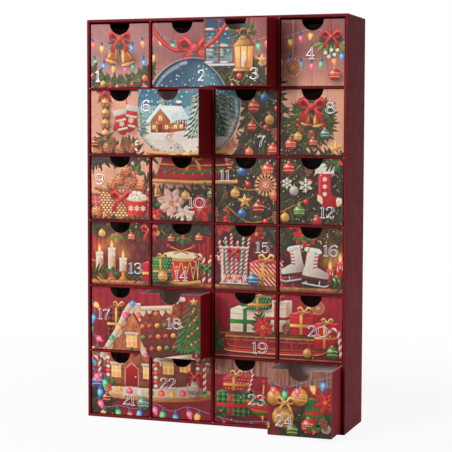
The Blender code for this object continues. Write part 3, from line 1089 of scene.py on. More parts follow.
@motif
def snowGlobe():
    r, snow = globeLook["r"], globeLook["snow"]
    x, z = onSheet((0, 0))
    gen = np.random.default_rng(7)
    here, gx, gz = window(x - r - 45, z - r - 35, x + r + 45, z + r + 2)
    outside, away = paint[here].copy(), np.hypot(gx - x, gz - z)
    paint[here] = blend(*globeLook["night"][::-1], (gz - z) / r * 0.62 + 0.42 + 0.06 * mottle[here])
    glow(20, 34, 46, "9fe0dc", 0.5)
    oval(20, 33, 6.2, 6.2, "fffbe0", "f0dfa0", rough=0.15)
    for step in range(9):
        star(gen.uniform(-40, 44), gen.uniform(4, 46), gen.uniform(1, 1.9), light="ffffff", dark="dff4ff",
             points=4, inner=0.25)
    for *hill, tone in ((-34, -20, 40, 22, "8fbcc8"), (30, -22, 42, 26, "9cc6cf"), (4, -30, 34, 24, "b4d4dc")):
        oval(*hill, tone, "5f95a8", rough=0.06)
    for treeX, treeZ, tall in globeLook["trees"]:
        firTree(treeX, treeZ, tall, tall * 0.52, snow=0.34 if treeX < -20 else 0.6, light="3f7f78", tiers=6)
    oval(-16, -44, 58, 26, *snow, rough=0.03)
    cottage(-22, -27, 1.12)
    firTree(25, -34, 50, 27, snow=0.52, light="3a7a58")
    for treeX, treeZ, tall in ((-46, -30, 26), (46, -36, 24)):
        firTree(treeX, treeZ, tall, tall * 0.5, snow=0.7, tiers=6)
    oval(34, -52, 46, 21, *snow, rough=0.03)
    oval(-34, -56, 44, 22, *snow, rough=0.03)
    path = (smooth((-12, -27), (-17, -34), (-6, -42), (-12, -56)), smooth((6, -56), (4, -42), (-8, -34), (-6, -27)))
    shape(np.vstack(path), "c9a890", "a9bccb", soft=1.2)
    for step in range(11):
        berry(-40 + step * 7.6, -45 + 3 * math.sin(step * 1.7), 1)
    for step in range(globeLook["flakes"]):
        fall, turn, size = r * math.sqrt(gen.random()) * 0.96, gen.uniform(0, 2 * math.pi), gen.uniform(0.35, 0.95)
        oval(fall * math.cos(turn), fall * math.sin(turn), size, size, "ffffff", "e6f4ff", soft=0.7, cover=0.9)
    paint[here] *= 1 - 0.42 * np.clip((away / r - 0.84) / 0.16, 0, 1)[..., None] ** 2
    for share, start, end, width, endWidth, cover in globeLook["glass"]:
        tube(arc(0, 0, r * share, start, end, 20), width, "ffffff", endWidth=endWidth, cover=cover, soft=2)
    paint[here] = blend(outside, paint[here], edgeCover(away - r))
    tube(arc(0, 0, r, -52, 232, 60), 0.9, "e8f2f4", cover=0.55)
    foot = -r
    shadow(4, foot - 26, 60, 12, 0.6)
    shape([(-46, foot - 26), (46, foot - 26), (34, foot + 6), (-34, foot + 6)], *globeLook["base"],
          along=(1, -0.35), dome=0.3)
    for level, wide, high in ((6.5, 37, 3.4), (-7, 41, 1.5), (-25.5, 50, 4.2)):
        tube([(-wide, foot + level), (0, foot + level - 1.6), (wide, foot + level)], high, *goldTone)
    for step in range(-3, 4):
        holly(step * 11, foot - 16.5 - 1.2 * math.cos(step * 0.8), 0.62, 90 + step * 8)
    bow(0, foot - 1, 1.15, kind="gold")


@motif
def lantern():
    metal = ("f0c672", "6a3c12")
    glow(0, 0, 30, "ffa84a", 0.28)
    tube(arc(0, 21, 4, -20, 200), 0.9, *metal)
    shape([(-8, -11), (8, -11), (9.5, 9), (-9.5, 9)], "f2d08a", "c67c34", along=(1, -0.4), rough=0.05)
    candle(0, -10, 5.4, 9, flame=0.95)
    glow(0, 2, 11, "fff0b0", 0.6)
    for edge in (-9, -3.2, 3.2, 9):
        bar(edge * 0.88, -11, edge * 1.04, 9, 0.9, *metal)
    for low, high, foot, top in ((11.5, 5, 9, 15.5), (4, 2, 15.5, 18.5), (10.5, 9.5, -14, -10.6)):
        shape([(-low, foot), (low, foot), (high, top), (-high, top)], *metal, along=(1, -0.4), rim=metal[1])


@motif
def stocking():
    light, dark = giftLook["red"]
    shadow(2, -4, 17, 22, 0.35)
    outline = [(-6, 16), (-6, 0), (-7, -7), (-3, -14), (6, -17), (15, -14), (15.5, -8), (9, -5.5), (6, -1), (6, 16)]
    shape(smooth(*outline, steps=6), light, dark, along=(0.7, -0.7), rim=dark, rimWidth=2)
    tube([(-4.6, 12), (-4.8, 0), (-3.6, -8)], 1.6, lighter(light, 0.35), cover=0.4, soft=1.5)
    shape(smooth((12, -6.8), (10.6, -10), (12, -15.4), (15.8, -12.5), (15.8, -8), steps=4), *creamTone)
    shape(smooth((-6.4, -4.8), (-2.2, -7.4), (-2, -13.4), (-6.8, -10), steps=4), *creamTone)
    for step in range(3):
        snowflake(0.2, 9 - step * 6.6, 2.1, width=0.22)
    shape([(-8.6, 14), (8.6, 14), (9.2, 23), (-9.2, 23)], "ffffff", "cdb7ab", along=(0.5, -1), soft=1.2)
    gen = np.random.default_rng(885)
    for step in range(60):
        petal(gen.uniform(-9, 9), gen.uniform(13.6, 23.4), 2.6, 1, gen.uniform(0, 360), "ffffff", "d9c8c0", cover=0.8)
    tube(arc(-7, 25, 2.6, -60, 240), 0.9, light, dark)


def knit(colour, gx, gz):
    return colour * (0.9 + 0.14 * np.sin(gx * 4.2) * np.sin(gz * 3.4))[..., None]


@motif
def mitten():
    light, dark = giftLook["red"]
    shadow(2, -5, 15, 18, 0.35)
    for part in (smooth((5, 2), (9.2, -1.6), (11.6, -7.2), (9, -9.4), (6.4, -6), (5, -2), steps=5),
                 smooth((-6, 8), (-6.6, -2), (-6, -11), (0, -15.5), (6, -11), (6.8, -3), (6, 8), steps=6)):
        shape(part, light, dark, along=(0.6, -0.6), rim=dark, rimWidth=1.8)
    for level in (3, -7):
        panel(-6.1, level - 2.4, 6.1, level, "fff4e2", "d9bfae", pattern=knit)
    snowflake(0, -2.4, 3.4, width=0.18)
    panel(-7.7, 7.4, 7.7, 13.6, "ffffff", "ccb4a8", along=(0.5, -1), soft=1.2, pattern=knit)


@motif
def basket():
    shadow(0, 0, 46, 17, 0.6)
    shape([(-25, 0), (25, 0), (31, 34), (-31, 34)], "d8d8d8", "8a8a8a", along=(1, -0.3), dome=0.25, pattern=woven)
    rim = smooth((-33, 34), (0, 29.2), (33, 34))
    tube(rim, 4, "edbf80", "5f3418", stripe="a8703c", pitch=3.6)
    tube(rim - (0, 29.2), 3.2, "d9a566", "4a2812", stripe="8a5a30", pitch=3.6)


@motif
def mug():
    shadow(4, -11, 17, 5, 0.5)
    tube(arc(12, 0, 6.4, -80, 80), 2.8, *bowLook["red"])
    shape([(-12, -12), (10, -12), (12.6, 10), (-14, 10)], "e8503f", "7a1016", along=(1, -0.2), dome=0.25)
    for step in range(3):
        snowflake(-8.6 + step * 7.4, -1, 3.2, width=0.19)
    cinnamon(2, 11, 0.95, 66, count=2)
    oval(-0.6, 10, 13.4, 3.4, "fff4e2", "b98a70")
    for x, z, r in ((-7, 12.4, 4.4), (1, 14.4, 5.2), (7, 12, 3.8), (-2, 11.2, 4.6), (-4, 16.4, 3.4)):
        oval(x, z, r, r * 0.82, "ffffff", "e6cdb4", rough=0.04)
    for step in range(9):
        oval(-8 + step * 2, 13 + 2.4 * math.sin(step * 2.3), 0.6, 0.6, "8a4a24", "5a2a12")


@motif
def drum():
    half, high, count = 21, 30, 6
    shadow(3, 0, 34, 9, 0.6)
    panel(-half, 0, half, high, *redTone, along=(1, -0.1), dome=0.35)
    edges = [-half * math.cos(math.pi * step / count) for step in range(count + 1)]
    for step, (left, right) in enumerate(zip(edges, edges[1:])):
        middle = (left + right) / 2
        for edge in (left, right):
            bar(edge, high * 0.84, middle, high * 0.14, 0.8, "fff0c8", "b98a3a")
        star(middle, high * 0.56, 1.9 * math.sin(math.pi * (step + 0.5) / count) + 0.6)
    for level in (1.2, 27):
        tube(smooth((-21.6, level), (0, level - 2.5), (21.6, level)), 4.5, *goldTone)
    oval(0, high + 0.5, 21.4, 4.2, "fff6e4", "d8bfa0", rough=0.05)
    tube(arc(0, high + 0.5, 21.4, 0, 360, 40, 0.2), 1, *goldTone)
    for hand in (-1, 1):
        bar(hand * 14.3, high + 10, -hand * 8.4, high + 2, 1.5, "e8b674", "6a3a18")
        oval(hand * 15.1, high + 10.6, 2.4, 2.4, *redTone)


@motif
def sweetJar():
    shadow(3, 0, 26, 8, 0.5)
    panel(-16, 0, 16, 40, "8a6a70", "5a3a48", cover=0.75, soft=1.5)
    for step, lean in enumerate((-16, -8, -2, 6, 13, 20)):
        base = (step - 2.5) * 4.5
        bar(base, 2, base + lean * 0.34, 46 + 4 * (step % 3), 3.4, caneLook["white"], caneLook["shade"],
             stripe="2f8a4a" if step % 3 == 1 else caneLook["red"], pitch=4.6)
    for step in range(10):
        x, z = (step % 5 - 2) * 6.1, 3.2 + 4.6 * (step // 5)
        oval(x, z, 2.8, 2.8, *(("fff6ee", "d8b8b0") if step % 2 else ("e8503f", "8c1016")))
        tube(arc(x, z, 1.5, 20, 250), 0.8, caneLook["red"] if step % 2 else caneLook["white"])
    panel(-16, 0, 16, 40, "ffffff", "cfe4ee", along=(1, 0), cover=0.16, soft=1.2)
    for x, width, cover in ((-13.4, 2.2, 0.6), (14.7, 1, 0.4), (-9.6, 0.8, 0.3)):
        bar(x, 3, x, 37, width, "ffffff", cover=cover, soft=1.2)
    for level, width in ((40, 2.4), (0.6, 1.8)):
        bar(-16, level, 16, level, width, "eaf4f6", "8aa4ac", cover=0.85)
    bow(0, 34.4, 0.8)


@motif
def skate():
    shadow(3, -4, 20, 22, 0.4)
    tube([(-7, -9.4), (14, -9.4), (18.4, -7.2)], 1.5, "f4f6fa", "6f7a88")
    for post in (-4.4, 9):
        bar(post, -8.8, post, -4, 1.5, "dfe6ee", "5a6674")
    panel(-8.7, -4.6, 16.4, -1.4, "7a4a34", "2a140e")
    panel(-8.7, -7, -3.2, -3, "6b3e2a", "2a140e")
    outline = [(-7, 22), (-7.4, 8), (-8.6, 1), (-7, -2), (10, -2), (16, -1.4), (16.4, 3), (9, 6.2), (4.6, 9), (4.6, 22)]
    shape(smooth(*outline, steps=6), "f8f0e8", "a08e90", along=(0.8, -0.6), rim="a8989c", rimWidth=1.8, rough=0.05)
    for level in range(5):
        bar(1, 6.5 + level * 3.3, 5, 7.7 + level * 3.3, 1, *giftLook["red"])
    for step in range(16):
        oval(-8 + step * 0.86, 22.4 + 0.6 * math.sin(step * 2), 2, 2, "ffffff", "cfc4c6")


@motif
def sledge():
    shadow(0, -1, 76, 6, 0.6)
    runner = smooth((-60, 3), (-52, 0), (0, -1.2), (44, 0), (60, 6), (66, 17), (60, 26), (51, 24), (50, 17), (54, 14))
    for off, tone in ((5, 0.55), (0, 0)):
        tube(runner + off, 3.4, blend(*redTone, tone), "5c0a10")
        tube(runner + (off, off - 1.5), 0.9, blend("f7d57c", "6b4012", tone), cover=0.9)
        for post in (-44, -12, 20, 40):
            bar(post + off, 1 + off, post - 3 + off, 15 + off, 2.4, blend(*redTone, tone), "5c0a10")
    for slat in range(3):
        bar(-56 + slat * 2.4, 15.5 + slat * 2.2, 46 + slat * 2.4, 15.5 + slat * 2.2, 2.6, "d89a5c", "5a2a14")
    bar(-56, 14.6, 46, 14.6, 1.2, *goldTone)


icingLook = {"light": "f6e9da", "dark": "b0907c", "under": "3a160c"}
houseLook = {
    "wall": ("bf7c50", "5a2c1c"), "roof": ("92503a", "431f18"), "board": ("f0d29a", "8a5420"),
    "door": ("b3262c", "5c0b10"), "window": ("ffe38a", "f2952e"), "frame": "fffaf0",
    "sweets": ("red", "gold", "green", "wine", "orange"),
}


def icingLine(points, width, drips=0, drop=5.0):
    path, icing = np.asarray(points, float), (icingLook["light"], icingLook["dark"])
    tube(path + (0.6, -1.2), width, icingLook["under"], cover=0.4, soft=1.2)
    if drips:
        every = np.hypot(*np.diff(path, axis=0).T).sum() / drips
        for step, (x, z) in enumerate(spaced(path, every / 2, every)):
            length = drop * (0.8 + 0.5 * math.sin(step * 2.1 + 1)) + width * 0.5
            petal(x, z + width * 0.3, length, every * 0.86, -90, *icing, peak=0.45, sharp=0.7, rough=0.04)
    tube(path, width, *icing, rough=0.04)


def gumdrop(x, z, r, kind):
    light, dark = bulbLook[kind]
    petal(x, z - r * 0.8, r * 2.1, r * 2.1, 90, light, darker(dark, 0.15), peak=0.4, sharp=0.55, rough=0.2)
    glow(x - r * 0.3, z + r * 0.3, r * 0.6, "ffffff", 0.7)


def houseWindow(x, z, wide, high):
    panel(x - wide, z - high, x + wide, z + high, *houseLook["window"], along=(0.5, -1),
          rim=houseLook["frame"], rimWidth=1.6, rough=0.03)
    glow(x, z, 13, "ffb040", 0.35)
    bar(x, z - high, x, z + high, 1.2, icingLook["light"])
    bar(x - wide, z, x + wide, z, 1.2, icingLook["light"])
    icingLine([(x - wide - 1, z + high + 1), (x + wide + 1, z + high + 1)], 2.6, 4, 3)


@motif
def gingerHouse():
    light, dark = houseLook["wall"]
    shadow(0, 0, 88, 10, 0.6)
    oval(4, -3, 78, 11, *houseLook["board"], rough=0.06)
    oval(4, -0.5, 72, 9, icingLook["light"], "b89a84", rough=0.05)
    shape([(14, 0), (62, 6), (62, 46), (14, 40)], blend(light, dark, 0.4), dark, along=(1, -0.2), rough=0.25)
    shape([(-40, 0), (14, 0), (14, 40), (-13, 82), (-40, 40)], light, blend(light, dark, 0.75),
          along=(0.5, -1), rough=0.25, rim=dark, rimWidth=2)
    shape([(-11, 88), (46, 92), (72, 44), (18, 34)], *houseLook["roof"], along=(0.3, -1), rough=0.3)
    for row in range(4):
        for step in range(7):
            share = (row + 0.5) / 4.4
            x, z = -8 + step * 8.4 + share * 24 + 4.2 * (row % 2), 87 - share * 50 + step * 0.9
            oval(x, z, 2.9, 2.7, *baubleLook[houseLook["sweets"][(row * 3 + step) % 5]])
            tube(arc(x, z, 1.5, 0, 250), 0.6, "fff0d8", cover=0.45)
    icingLine([(18, 34), (72, 44)], 4.4, 10, 8)
    icingLine([(-11, 88), (46, 92)], 5, 8, 6)
    icingLine([(46, 92), (72, 44)], 4.2)
    icingLine(smooth((-47, 33), (-30, 60), (-12, 89), (4, 63), (20, 34)), 6.4, 13, 7)
    for step, kind in enumerate("red green yellow pink blue red green yellow pink".split()):
        gumdrop(np.interp(step, [0, 4, 8], [-44, -12, 17]), 1.5 + np.interp(step, [0, 4, 8], [37, 88, 38]), 3.2, kind)
    bar(52, 82, 52, 100, 11, "b0653a", "4a1f10", rough=0.3)
    icingLine([(45.5, 101), (58.5, 101)], 5, 3, 5)
    shape([(-21, 0), (-5, 0), (-5, 20), (-13, 26.5), (-21, 20)], *houseLook["door"],
          along=(0.5, -1), rim=houseLook["frame"], rimWidth=1.8)
    oval(-8.4, 11, 1.3, 1.3, *goldTone)
    for pane in ((-31, 17, 5.4, 7), (5.5, 17, 5.4, 7), (-13, 50, 6, 7), (29, 24, 6, 7.5), (48, 27, 6, 7.5)):
        houseWindow(*pane)
    for edge in (-40.5, 14.5, 62):
        for level in range(8):
            oval(edge, 3 + level * 4.6 + (3 if edge > 60 else 0), 2.1, 1.9, *bulbLook["red" if level % 2 else "white"])
    holly(-13, 34, 0.9, 90)
    for step in range(11):
        gumdrop(-52 + step * 12.2, -2 - 3.4 * math.sin(math.pi * step / 10), 3.6,
                ("green", "red", "yellow", "pink", "white")[step % 5])
    cane(-50, 0, 1.13)
    cane(70, 0, 1.13, flip=True)


@motif
def spinTop():
    green, gold = ("2f7a3a", "0f3a1e"), ("c8922f", "5f3610")
    shadow(2, -15, 16, 4, 0.6)
    bar(0, 6, 1.5, 23, 2, *goldTone)
    oval(1.6, 24, 3.2, 2.6, *redTone)
    for tones, wide, high, level in ((redTone, 5.2, 3, -12), (green, 10, 3.6, -9), (gold, 14.5, 4, -5.6),
                                     (redTone, 19, 5, -1.6), (gold, 20.5, 4.6, 2.6), (green, 18, 5, 6)):
        oval(0, level, wide, high, *tones, rough=0.05)
    oval(0, 7.4, 10, 3, *redTone)
    petal(0, -12, 7, 2.6, -90, *goldTone, peak=0.3)


# The picture itself, from the back to the front

wallLook = {
    "mauve": "8c5d5b", "paintedSheenMauve": "aa8482", "peach": "d3a488", "deep": "6c3f40",
    "boardWidth": 17.6, "fadeFrom": 414, "fadeTo": 362,
}
roomLook = {
    "plum": ("35131a", "5e2226"), "red": ("962435", "641525"), "floor": ("8e2834", "64121f"), "damask": "a4583e",
    "wood": ("a27b69", "724c40"), "woodFoot": 57, "shelf": ("d9a46a", "6a3216"), "shelfTop": 157.5,
}


def paintRoom():
    level, across = pointZ[:, None] + 0 * pointX, pointX + 0 * pointZ[:, None]
    fade = np.clip((wallLook["fadeFrom"] - level) / (wallLook["fadeFrom"] - wallLook["fadeTo"]), 0, 1)
    wall = blend(wallLook["mauve"], wallLook["peach"], fade * fade * (3 - 2 * fade))
    place = np.mod(across + 3.0, wallLook["boardWidth"]) / wallLook["boardWidth"]
    groove = np.exp(-((place - 0.5) * 14) ** 2) - 0.7 * np.exp(-((place - 0.57) * 18) ** 2)
    wall = wall * (1 - 0.09 * groove + 0.05 * softNoise(14, 11, 5) + 0.02 * softNoise(1.6, 12, 30))[..., None]
    # painted sheen: the wall is lighter at the upper left of the top row, standing in for the lamps' reflection on the
    # print
    wall = blend(wall, wallLook["paintedSheenMauve"], np.clip((-40 - across) / 60, 0, 1) * np.clip((level - 372) / 30, 0, 0.6))
    # painted shadow: a darker patch at the upper left of drawer 4's picture, where the pulled-out drawer 3 casts its
    # shadow
    corner = np.clip((112 - across) / 40, 0, 1) * np.clip((across - 60) / 20, 0, 1) * np.clip((level - 398) / 40, 0, 1)
    wall = blend(wall, wallLook["deep"], corner * 0.75)
    plum = blend(*roomLook["plum"][::-1], 0.5 + 0.5 * softNoise(26, 13))
    diamond = np.abs(np.mod(across + 6 * np.mod(np.floor(level / 10), 2), 12) - 6) * 1.3 + np.abs(np.mod(level, 10) - 5)
    plum = blend(plum, roomLook["damask"], np.clip(2.6 - np.abs(diamond - 3.4) * 1.8, 0, 1) * 0.3
                 + np.clip(1.4 - diamond, 0, 1) * 0.4)
    red = blend(*roomLook["red"][::-1], 0.5 + (level - 100) / 90)
    red = red * (0.95 + 0.05 * np.sin(across * 2 * math.pi / 9.0) + 0.06 * softNoise(6, 14))[..., None]
    wood = blend(*roomLook["wood"][::-1], 0.5 + 0.5 * softNoise(0.9, 16, 30) + 0.3 * softNoise(5, 17, 8))
    wood = wood * (1 - 0.5 * (np.mod(across + 4, 13.0) < 0.7))[..., None]
    floor = blend(*roomLook["floor"][::-1], np.clip(level / roomLook["woodFoot"], 0, 1) + 0.25 * softNoise(7, 18))
    room = blend(wall, plum, (236 + 18 * softNoise(40, 15) - level) / 30)
    for part, top, fade in ((red, roomLook["shelfTop"] - 4, 2), (wood, 78, 1.2), (floor, roomLook["woodFoot"], 1.2)):
        room = blend(room, part, (top - level) / fade)
    paint[:] = room * (1 + 0.05 * mottle)[..., None]
    bar(-149, 78.5, 149, 78.5, 2.2, "c89064", "4a1c16")
    bar(-149, roomLook["woodFoot"], 149, roomLook["woodFoot"], 1.4, "b05a4a", "3a0e12")


cascade = {
    "outline": [(10, 392), (34, 405), (60, 400), (76, 372), (80, 330), (96, 306), (120, 300), (149, 298),
                (149, 240), (138, 218), (149, 196), (110, 200), (70, 210), (30, 216), (4, 226), (-2, 262),
                (22, 290), (38, 330), (34, 368)],
    "garlands": [[(36, 380), (52, 366), (76, 356)], [(40, 346), (56, 330), (80, 326)],
                 [(6, 276), (36, 262), (76, 270), (100, 290)], [(8, 250), (44, 226), (88, 244), (124, 262)]],
    "cones": [(70, 330, 15, -84), (30, 300, 15, -70), (72, 240, 17, -88), (110, 292, 15, -100), (12, 262, 14, -80)],
    "baubles": [
        (46, 352, 6.6, "red", 1), (64, 338, 5.4, "gold", 0), (58, 362, 4.8, "blue", 0), (44, 331, 5.2, "red", 1),
        (68, 306, 6.2, "red", 2), (41, 303, 4.8, "orange", 0), (16, 288, 6, "red", 1), (33, 282, 5, "blue", 0),
        (62, 284, 7.2, "red", 2), (25, 258, 5.4, "gold", 1), (52, 243, 7, "wine", 1), (33, 236, 5, "blue", 0),
        (70, 256, 5.4, "orange", 0), (86, 286, 6.4, "red", 1), (92, 262, 5.2, "silver", 0), (98, 240, 6.6, "green", 2),
        (118, 230, 5.2, "red", 0), (82, 233, 5, "gold", 0), (14, 236, 5.2, "red", 0), (134, 288, 6.2, "wine", 2),
    ],
    "apples": [(60, 330), (40, 268), (76, 300), (60, 228), (106, 250), (20, 270), (72, 350), (110, 272), (90, 222),
               (44, 292), (130, 246), (66, 372), (42, 384), (22, 222)],
    "specks": [("ffe9a8", "d9a040"), ("f0645a", "8a1218"), creamTone],
}


def paintCascade():
    firBed(cascade["outline"], 6, -92, 58, 31, length=17)
    gen = np.random.default_rng(5)
    outline = np.asarray(cascade["outline"], float)
    for step in range(520):
        x, z = gen.uniform(0, 149), gen.uniform(205, 398)
        near = outlineDistance(outline, np.array([[x]]), np.array([[z]]))[0, 0]
        if near < -3 and chance.random() < 0.9:
            size = gen.uniform(0.45, 0.85)
            oval(x, z, size, size, *cascade["specks"][step % 3])
    for points in cascade["garlands"]:
        garland(*points)
    for place in cascade["cones"]:
        cone(*place)
    for x, z in cascade["apples"]:
        shadow(x, z - 1, 5.8, 5.8, 0.4)
        berry(x, z, 3.2)
    for row in cascade["baubles"]:
        bauble(*row, hang=3)
    strawStar(60, 268, 13.5)
    strawStar(20, 312, 9)
    star(36, 250, 8.5)
    star(67, 401, 6.5, -6)
    snowflake(84, 270, 6)
    snowflake(34, 370, 6)
    poinsettia(104, 214, 1, 20)
    poinsettia(10, 224, 0.95, 5)
    poinsettia(50, 214, 0.8, 40, light="a82b33", dark="4a0a10")


def paintStrings():
    lightString([(-149, 430), (-122, 422), (-96, 424), (-72, 434), (-44, 424), (-12, 420), (20, 430)],
                "red yellow green pink blue orange", 12.6, 4)
    lightString([(20, 430), (48, 420), (80, 426), (112, 434), (149, 424)], "pink yellow blue green red yellow", 12.6, 6)
    lightString([(-149, 412), (-128, 404), (-102, 401), (-84, 408), (-72, 414)], "green blue yellow pink", 12.4, 7)
    lightString([(36, 412), (60, 404), (84, 408), (108, 402), (132, 406), (149, 414)],
                "blue pink green orange blue", 12, 5)


def paintBells():
    lowGarland = smooth((-149, 392), (-134, 381), (-112, 376), (-90, 381), (-74, 392), steps=10)
    gen = np.random.default_rng(12)
    for x, z in np.vstack((lowGarland, lowGarland + (2, 3), lowGarland + (-2, -3))):
        for low, high in ((-150, -30), (20, 160)):
            fir(x, z, gen.uniform(8, 13), 4.8, gen.uniform(low, high))
    for step in range(9):
        x, z = lowGarland[3 + step * 4]
        if step % 2:
            holly(x, z + gen.uniform(-1, 1), 0.75, gen.uniform(40, 140))
        else:
            bauble(x, z - 2, 3.6, ("red", "gold", "red", "wine", "orange")[step // 2])
    ribbon(2.6, (-112, 447), (-111, 438), (-112, 430))
    for step in range(9):
        fir(-112, 424, 15, 5, -90 + (step - 4) * 30)
    bell(-120, 409, 1.12, -16)
    bell(-103, 407, 1.2, 15)
    holly(-112, 424, 0.9, 90, leaves=5)
    bow(-112, 428, 1.25)


windowLook = {"sky": ("123a50", "44868f"), "frame": ("94604f", "522a24"), "snow": ("dfdfe2", "a2acba"), "panes": (3, 3)}


# A paned window on a snowy night
@motif
def nightWindow(wide=52, high=56):
    across, up = windowLook["panes"]
    panel(0, 0, wide, high, *windowLook["sky"], rough=0.15)
    hills = smooth((0, 9), (12, 15), (27, 9), (41, 14), (wide, 8))
    shape(np.vstack((hills, [(wide, 0), (0, 0)])), "86a9b6", "5f8598")
    for tree, tall in ((9, 24), (22, 16), (44, 27)):
        firTree(tree, 8, tall, tall * 0.5, snow=0.5, light="3f7f78", tiers=5)
    gen = np.random.default_rng(17)
    for step in range(46):
        size = gen.uniform(0.4, 0.9)
        oval(gen.uniform(2, wide - 2), gen.uniform(8, high - 2), size, size, "ffffff", "dfeef4", cover=0.85)
    for step in range(across + 1):
        x = wide * step / across
        bar(x, 0, x, high, 2.6 if step % across else 4, *windowLook["frame"])
    for step in range(up + 1):
        z = high * step / up
        bar(0, z, wide, z, 2.6 if step % up else 4.4, *windowLook["frame"])
    for step in range(1, up + 1):
        for pane in range(across):
            left = wide * pane / across + 2
            oval(left + 4, high * (step - 1) / up + 2, 5.5, 1.4, *windowLook["snow"])
    bar(-4, -1, wide + 4, -1, 2.6, *windowLook["snow"])


def paintLanternCorner():
    nightWindow(3, 397, 0.94)
    ribbon(2, (45, 447), (45, 440), (45, 430))
    for angle in (-160, -130, -50, -20, 200, -10):
        fir(46, 432, 17, 5, angle)
    lantern(47, 405, 1.15)
    holly(40, 432, 0.85, 120)
    holly(53, 431, 0.8, 60)
    for hand in (-1, 1):
        ribbon(4.6, (-22, 420), (-22 + hand * 20, 414), (-22 + hand * 38, 424), (-22 + hand * 54, 446))
    bow(-22, 416, 2)
    bell(-22, 398.5, 0.62)


@motif
def mistletoe():
    ribbon(2.4, (0, 21), (-1, 14), (0, 3))
    for step in range(-5, 6):
        firSpray(0, -1, 19 - abs(step), -90 + step * 17, 3, 50, 4)
    for step in range(-3, 4):
        petal(step * 2.2, -6, 15, 4.8, -90 + step * 24, "a8bf6c", "3d5c2c", peak=0.6, rib=0.3)
    for x, z in ((-6, -17), (-2.6, -21), (3.6, -19), (7, -14), (0.4, -14)):
        oval(x, z, 2, 2, "ffffff", "c9c4b4")
    bow(0, 0, 1.05)


# A hanging spray of fir, cones and berries under a bow
@motif
def swag():
    ribbon(2.6, (0, 22), (-1, 14), (0, 0))
    for reach, spread, width in ((43, 14, 5.4), (30, 19, 5), (20, 26, 4.6)):
        for step in range(-4, 5):
            firSpray(0, -2, reach - 1.6 * abs(step) ** 1.3, -90 + step * spread, 5, 54, width)
    for angle, reach in ((172, 24), (150, 20), (118, 15), (62, 15), (30, 22), (6, 28), (-14, 30)):
        firSpray(0, -2, reach, angle, 4, 50, 4.6)
    for x, z, angle in ((-8, -14, -112), (9, -12, -66), (0, -22, -90)):
        cone(x, z, 14, angle)
    for step in range(14):
        berry(17 * math.sin(step * 2.1), -14 - 11 * math.cos(step * 1.3) - step * 0.5, 1.7)
    holly(-11, -6, 0.9, 200)
    holly(11, -6, 0.9, -20)
    bell(-6, -12, 0.85, -14)
    bell(7, -13, 0.9, 12)


def paintWallHangings():
    mistletoe(132, 426)
    strawStar(90, 394, 11.5)
    bar(90, 405, 90, 447, 0.5, baubleLook["wire"])
    swag(111, 350)
    baubles((136, 386, 6.6, "red", 2), (96, 320, 4.8, "gold", 1), (126, 323, 5.2, "teal", 1),
            (113, 314, 5, "wine", 2), (88, 312, 6.4, "red", 2))
    bow(111, 352, 1.45)
    star(138, 308, 9)


def paintSleighBells():
    strap = smooth((-130, 371), (-129, 345), (-130, 318))
    tube(strap + (1.6, -1.2), 8.6, "5a2f1c", cover=0.35, soft=2)
    tube(strap, 7.6, "a5623a", "3f1c10", rough=0.2)
    for off in (-3, 3):
        tube(strap + (off, 0), 0.4, "f0cfa0", cover=0.7)
    for level in range(4):
        z = 357 - level * 11.6
        bauble(-129.6, z, 5, "gold")
        bar(-134.2, z - 0.8, -125.2, z - 0.8, 0.8, "6a3c12", cover=0.8)
        bar(-129.8, z - 0.8, -129.8, z - 4.6, 0.9, "3a1c08", cover=0.9)
    bow(-130, 369, 0.95)
    for step in range(8):
        fir(-130, 318, 13, 4.8, -90 + (step - 3.5) * 34)
    holly(-130, 317, 0.9, -90)
    ribbon(1.6, (-103, 371), (-104, 362), (-103, 354))
    mitten(-98, 340, 1.05, -10)
    mitten(-110, 336, 1, 12, True)


def paintBasket():
    firBed([(-149, 298), (-149, 286), (-128, 289), (-96, 292), (-70, 294), (-76, 306), (-100, 312), (-130, 306)],
           6, 60, 80, 8, 14)
    oranges((-139, 302, 6), (-126, 307, 6.6), (-112, 305, 6.4), (-98, 307, 6.2), (-86, 301, 5.8))
    cone(-105, 319, 16, -80)
    cone(-120, 318, 15, -100)
    cinnamon(-92, 309, 1, 48)
    cinnamon(-136, 306, 0.8, 122, count=3)
    holly(-88, 312, 0.8, 80)
    baubles((-78, 312, 4.8, "red", 1), (-143, 312, 4.8, "wine", 1))
    panel(-149, 222, -62, 256, "d8646a", "8c343c", pattern=plaidCloth, soft=3)
    basket(-108, 227)
    oranges((-122, 265, 6.6), (-112, 271, 7.6), (-98, 269, 8), (-85, 265, 7), (-104, 280, 6.8))
    firSpray(-82, 267, 20, 40, 4)
    holly(-92, 279, 1, 60)
    cone(-77, 264, 14, -70)
    bow(-110, 250, 1.3)
    mug(-90, 240, 0.98)
    cane(-70, 232, 1.13, -10)
    oranges((-140, 234, 7.4), (-129, 229, 5.6))


def plaidCloth(colour, gx, gz):
    gx = gx + gz * 0.15
    colour = blend(colour, "1d4a30", (lines(gx, 13, 6.5, 2.2) + lines(gz, 13, 6.5, 2.2)) * 0.425)
    return blend(colour, "f4d9a0", (lines(gx, 13, 12, 1, 1.6) + lines(gz, 13, 12, 1, 1.6)) * 0.6)


def paintPoinsettias():
    panel(-72, 222, 10, 262, "8c1c24", "50101a", pattern=plaidCloth, soft=3)
    firBed([(-70, 262), (-46, 258), (0, 262), (12, 250), (8, 232), (-30, 226), (-70, 232)], 6.5, 0, 180, 3, 14)
    poinsettia(-50, 246, 1.35, 10, light="fae0d2", dark="b0706c")
    poinsettia(-70, 230, 0.9)
    poinsettia(-16, 240, 1.25, 44)
    poinsettia(-34, 231, 1, 25, light="fff2e4", dark="b9948c")
    baubles((-33, 254, 5.4, "gold", 2), (-2, 256, 5.8, "green", 1))
    cone(-2, 244, 14, -60)
    bell(-66, 258, 0.7, 12)


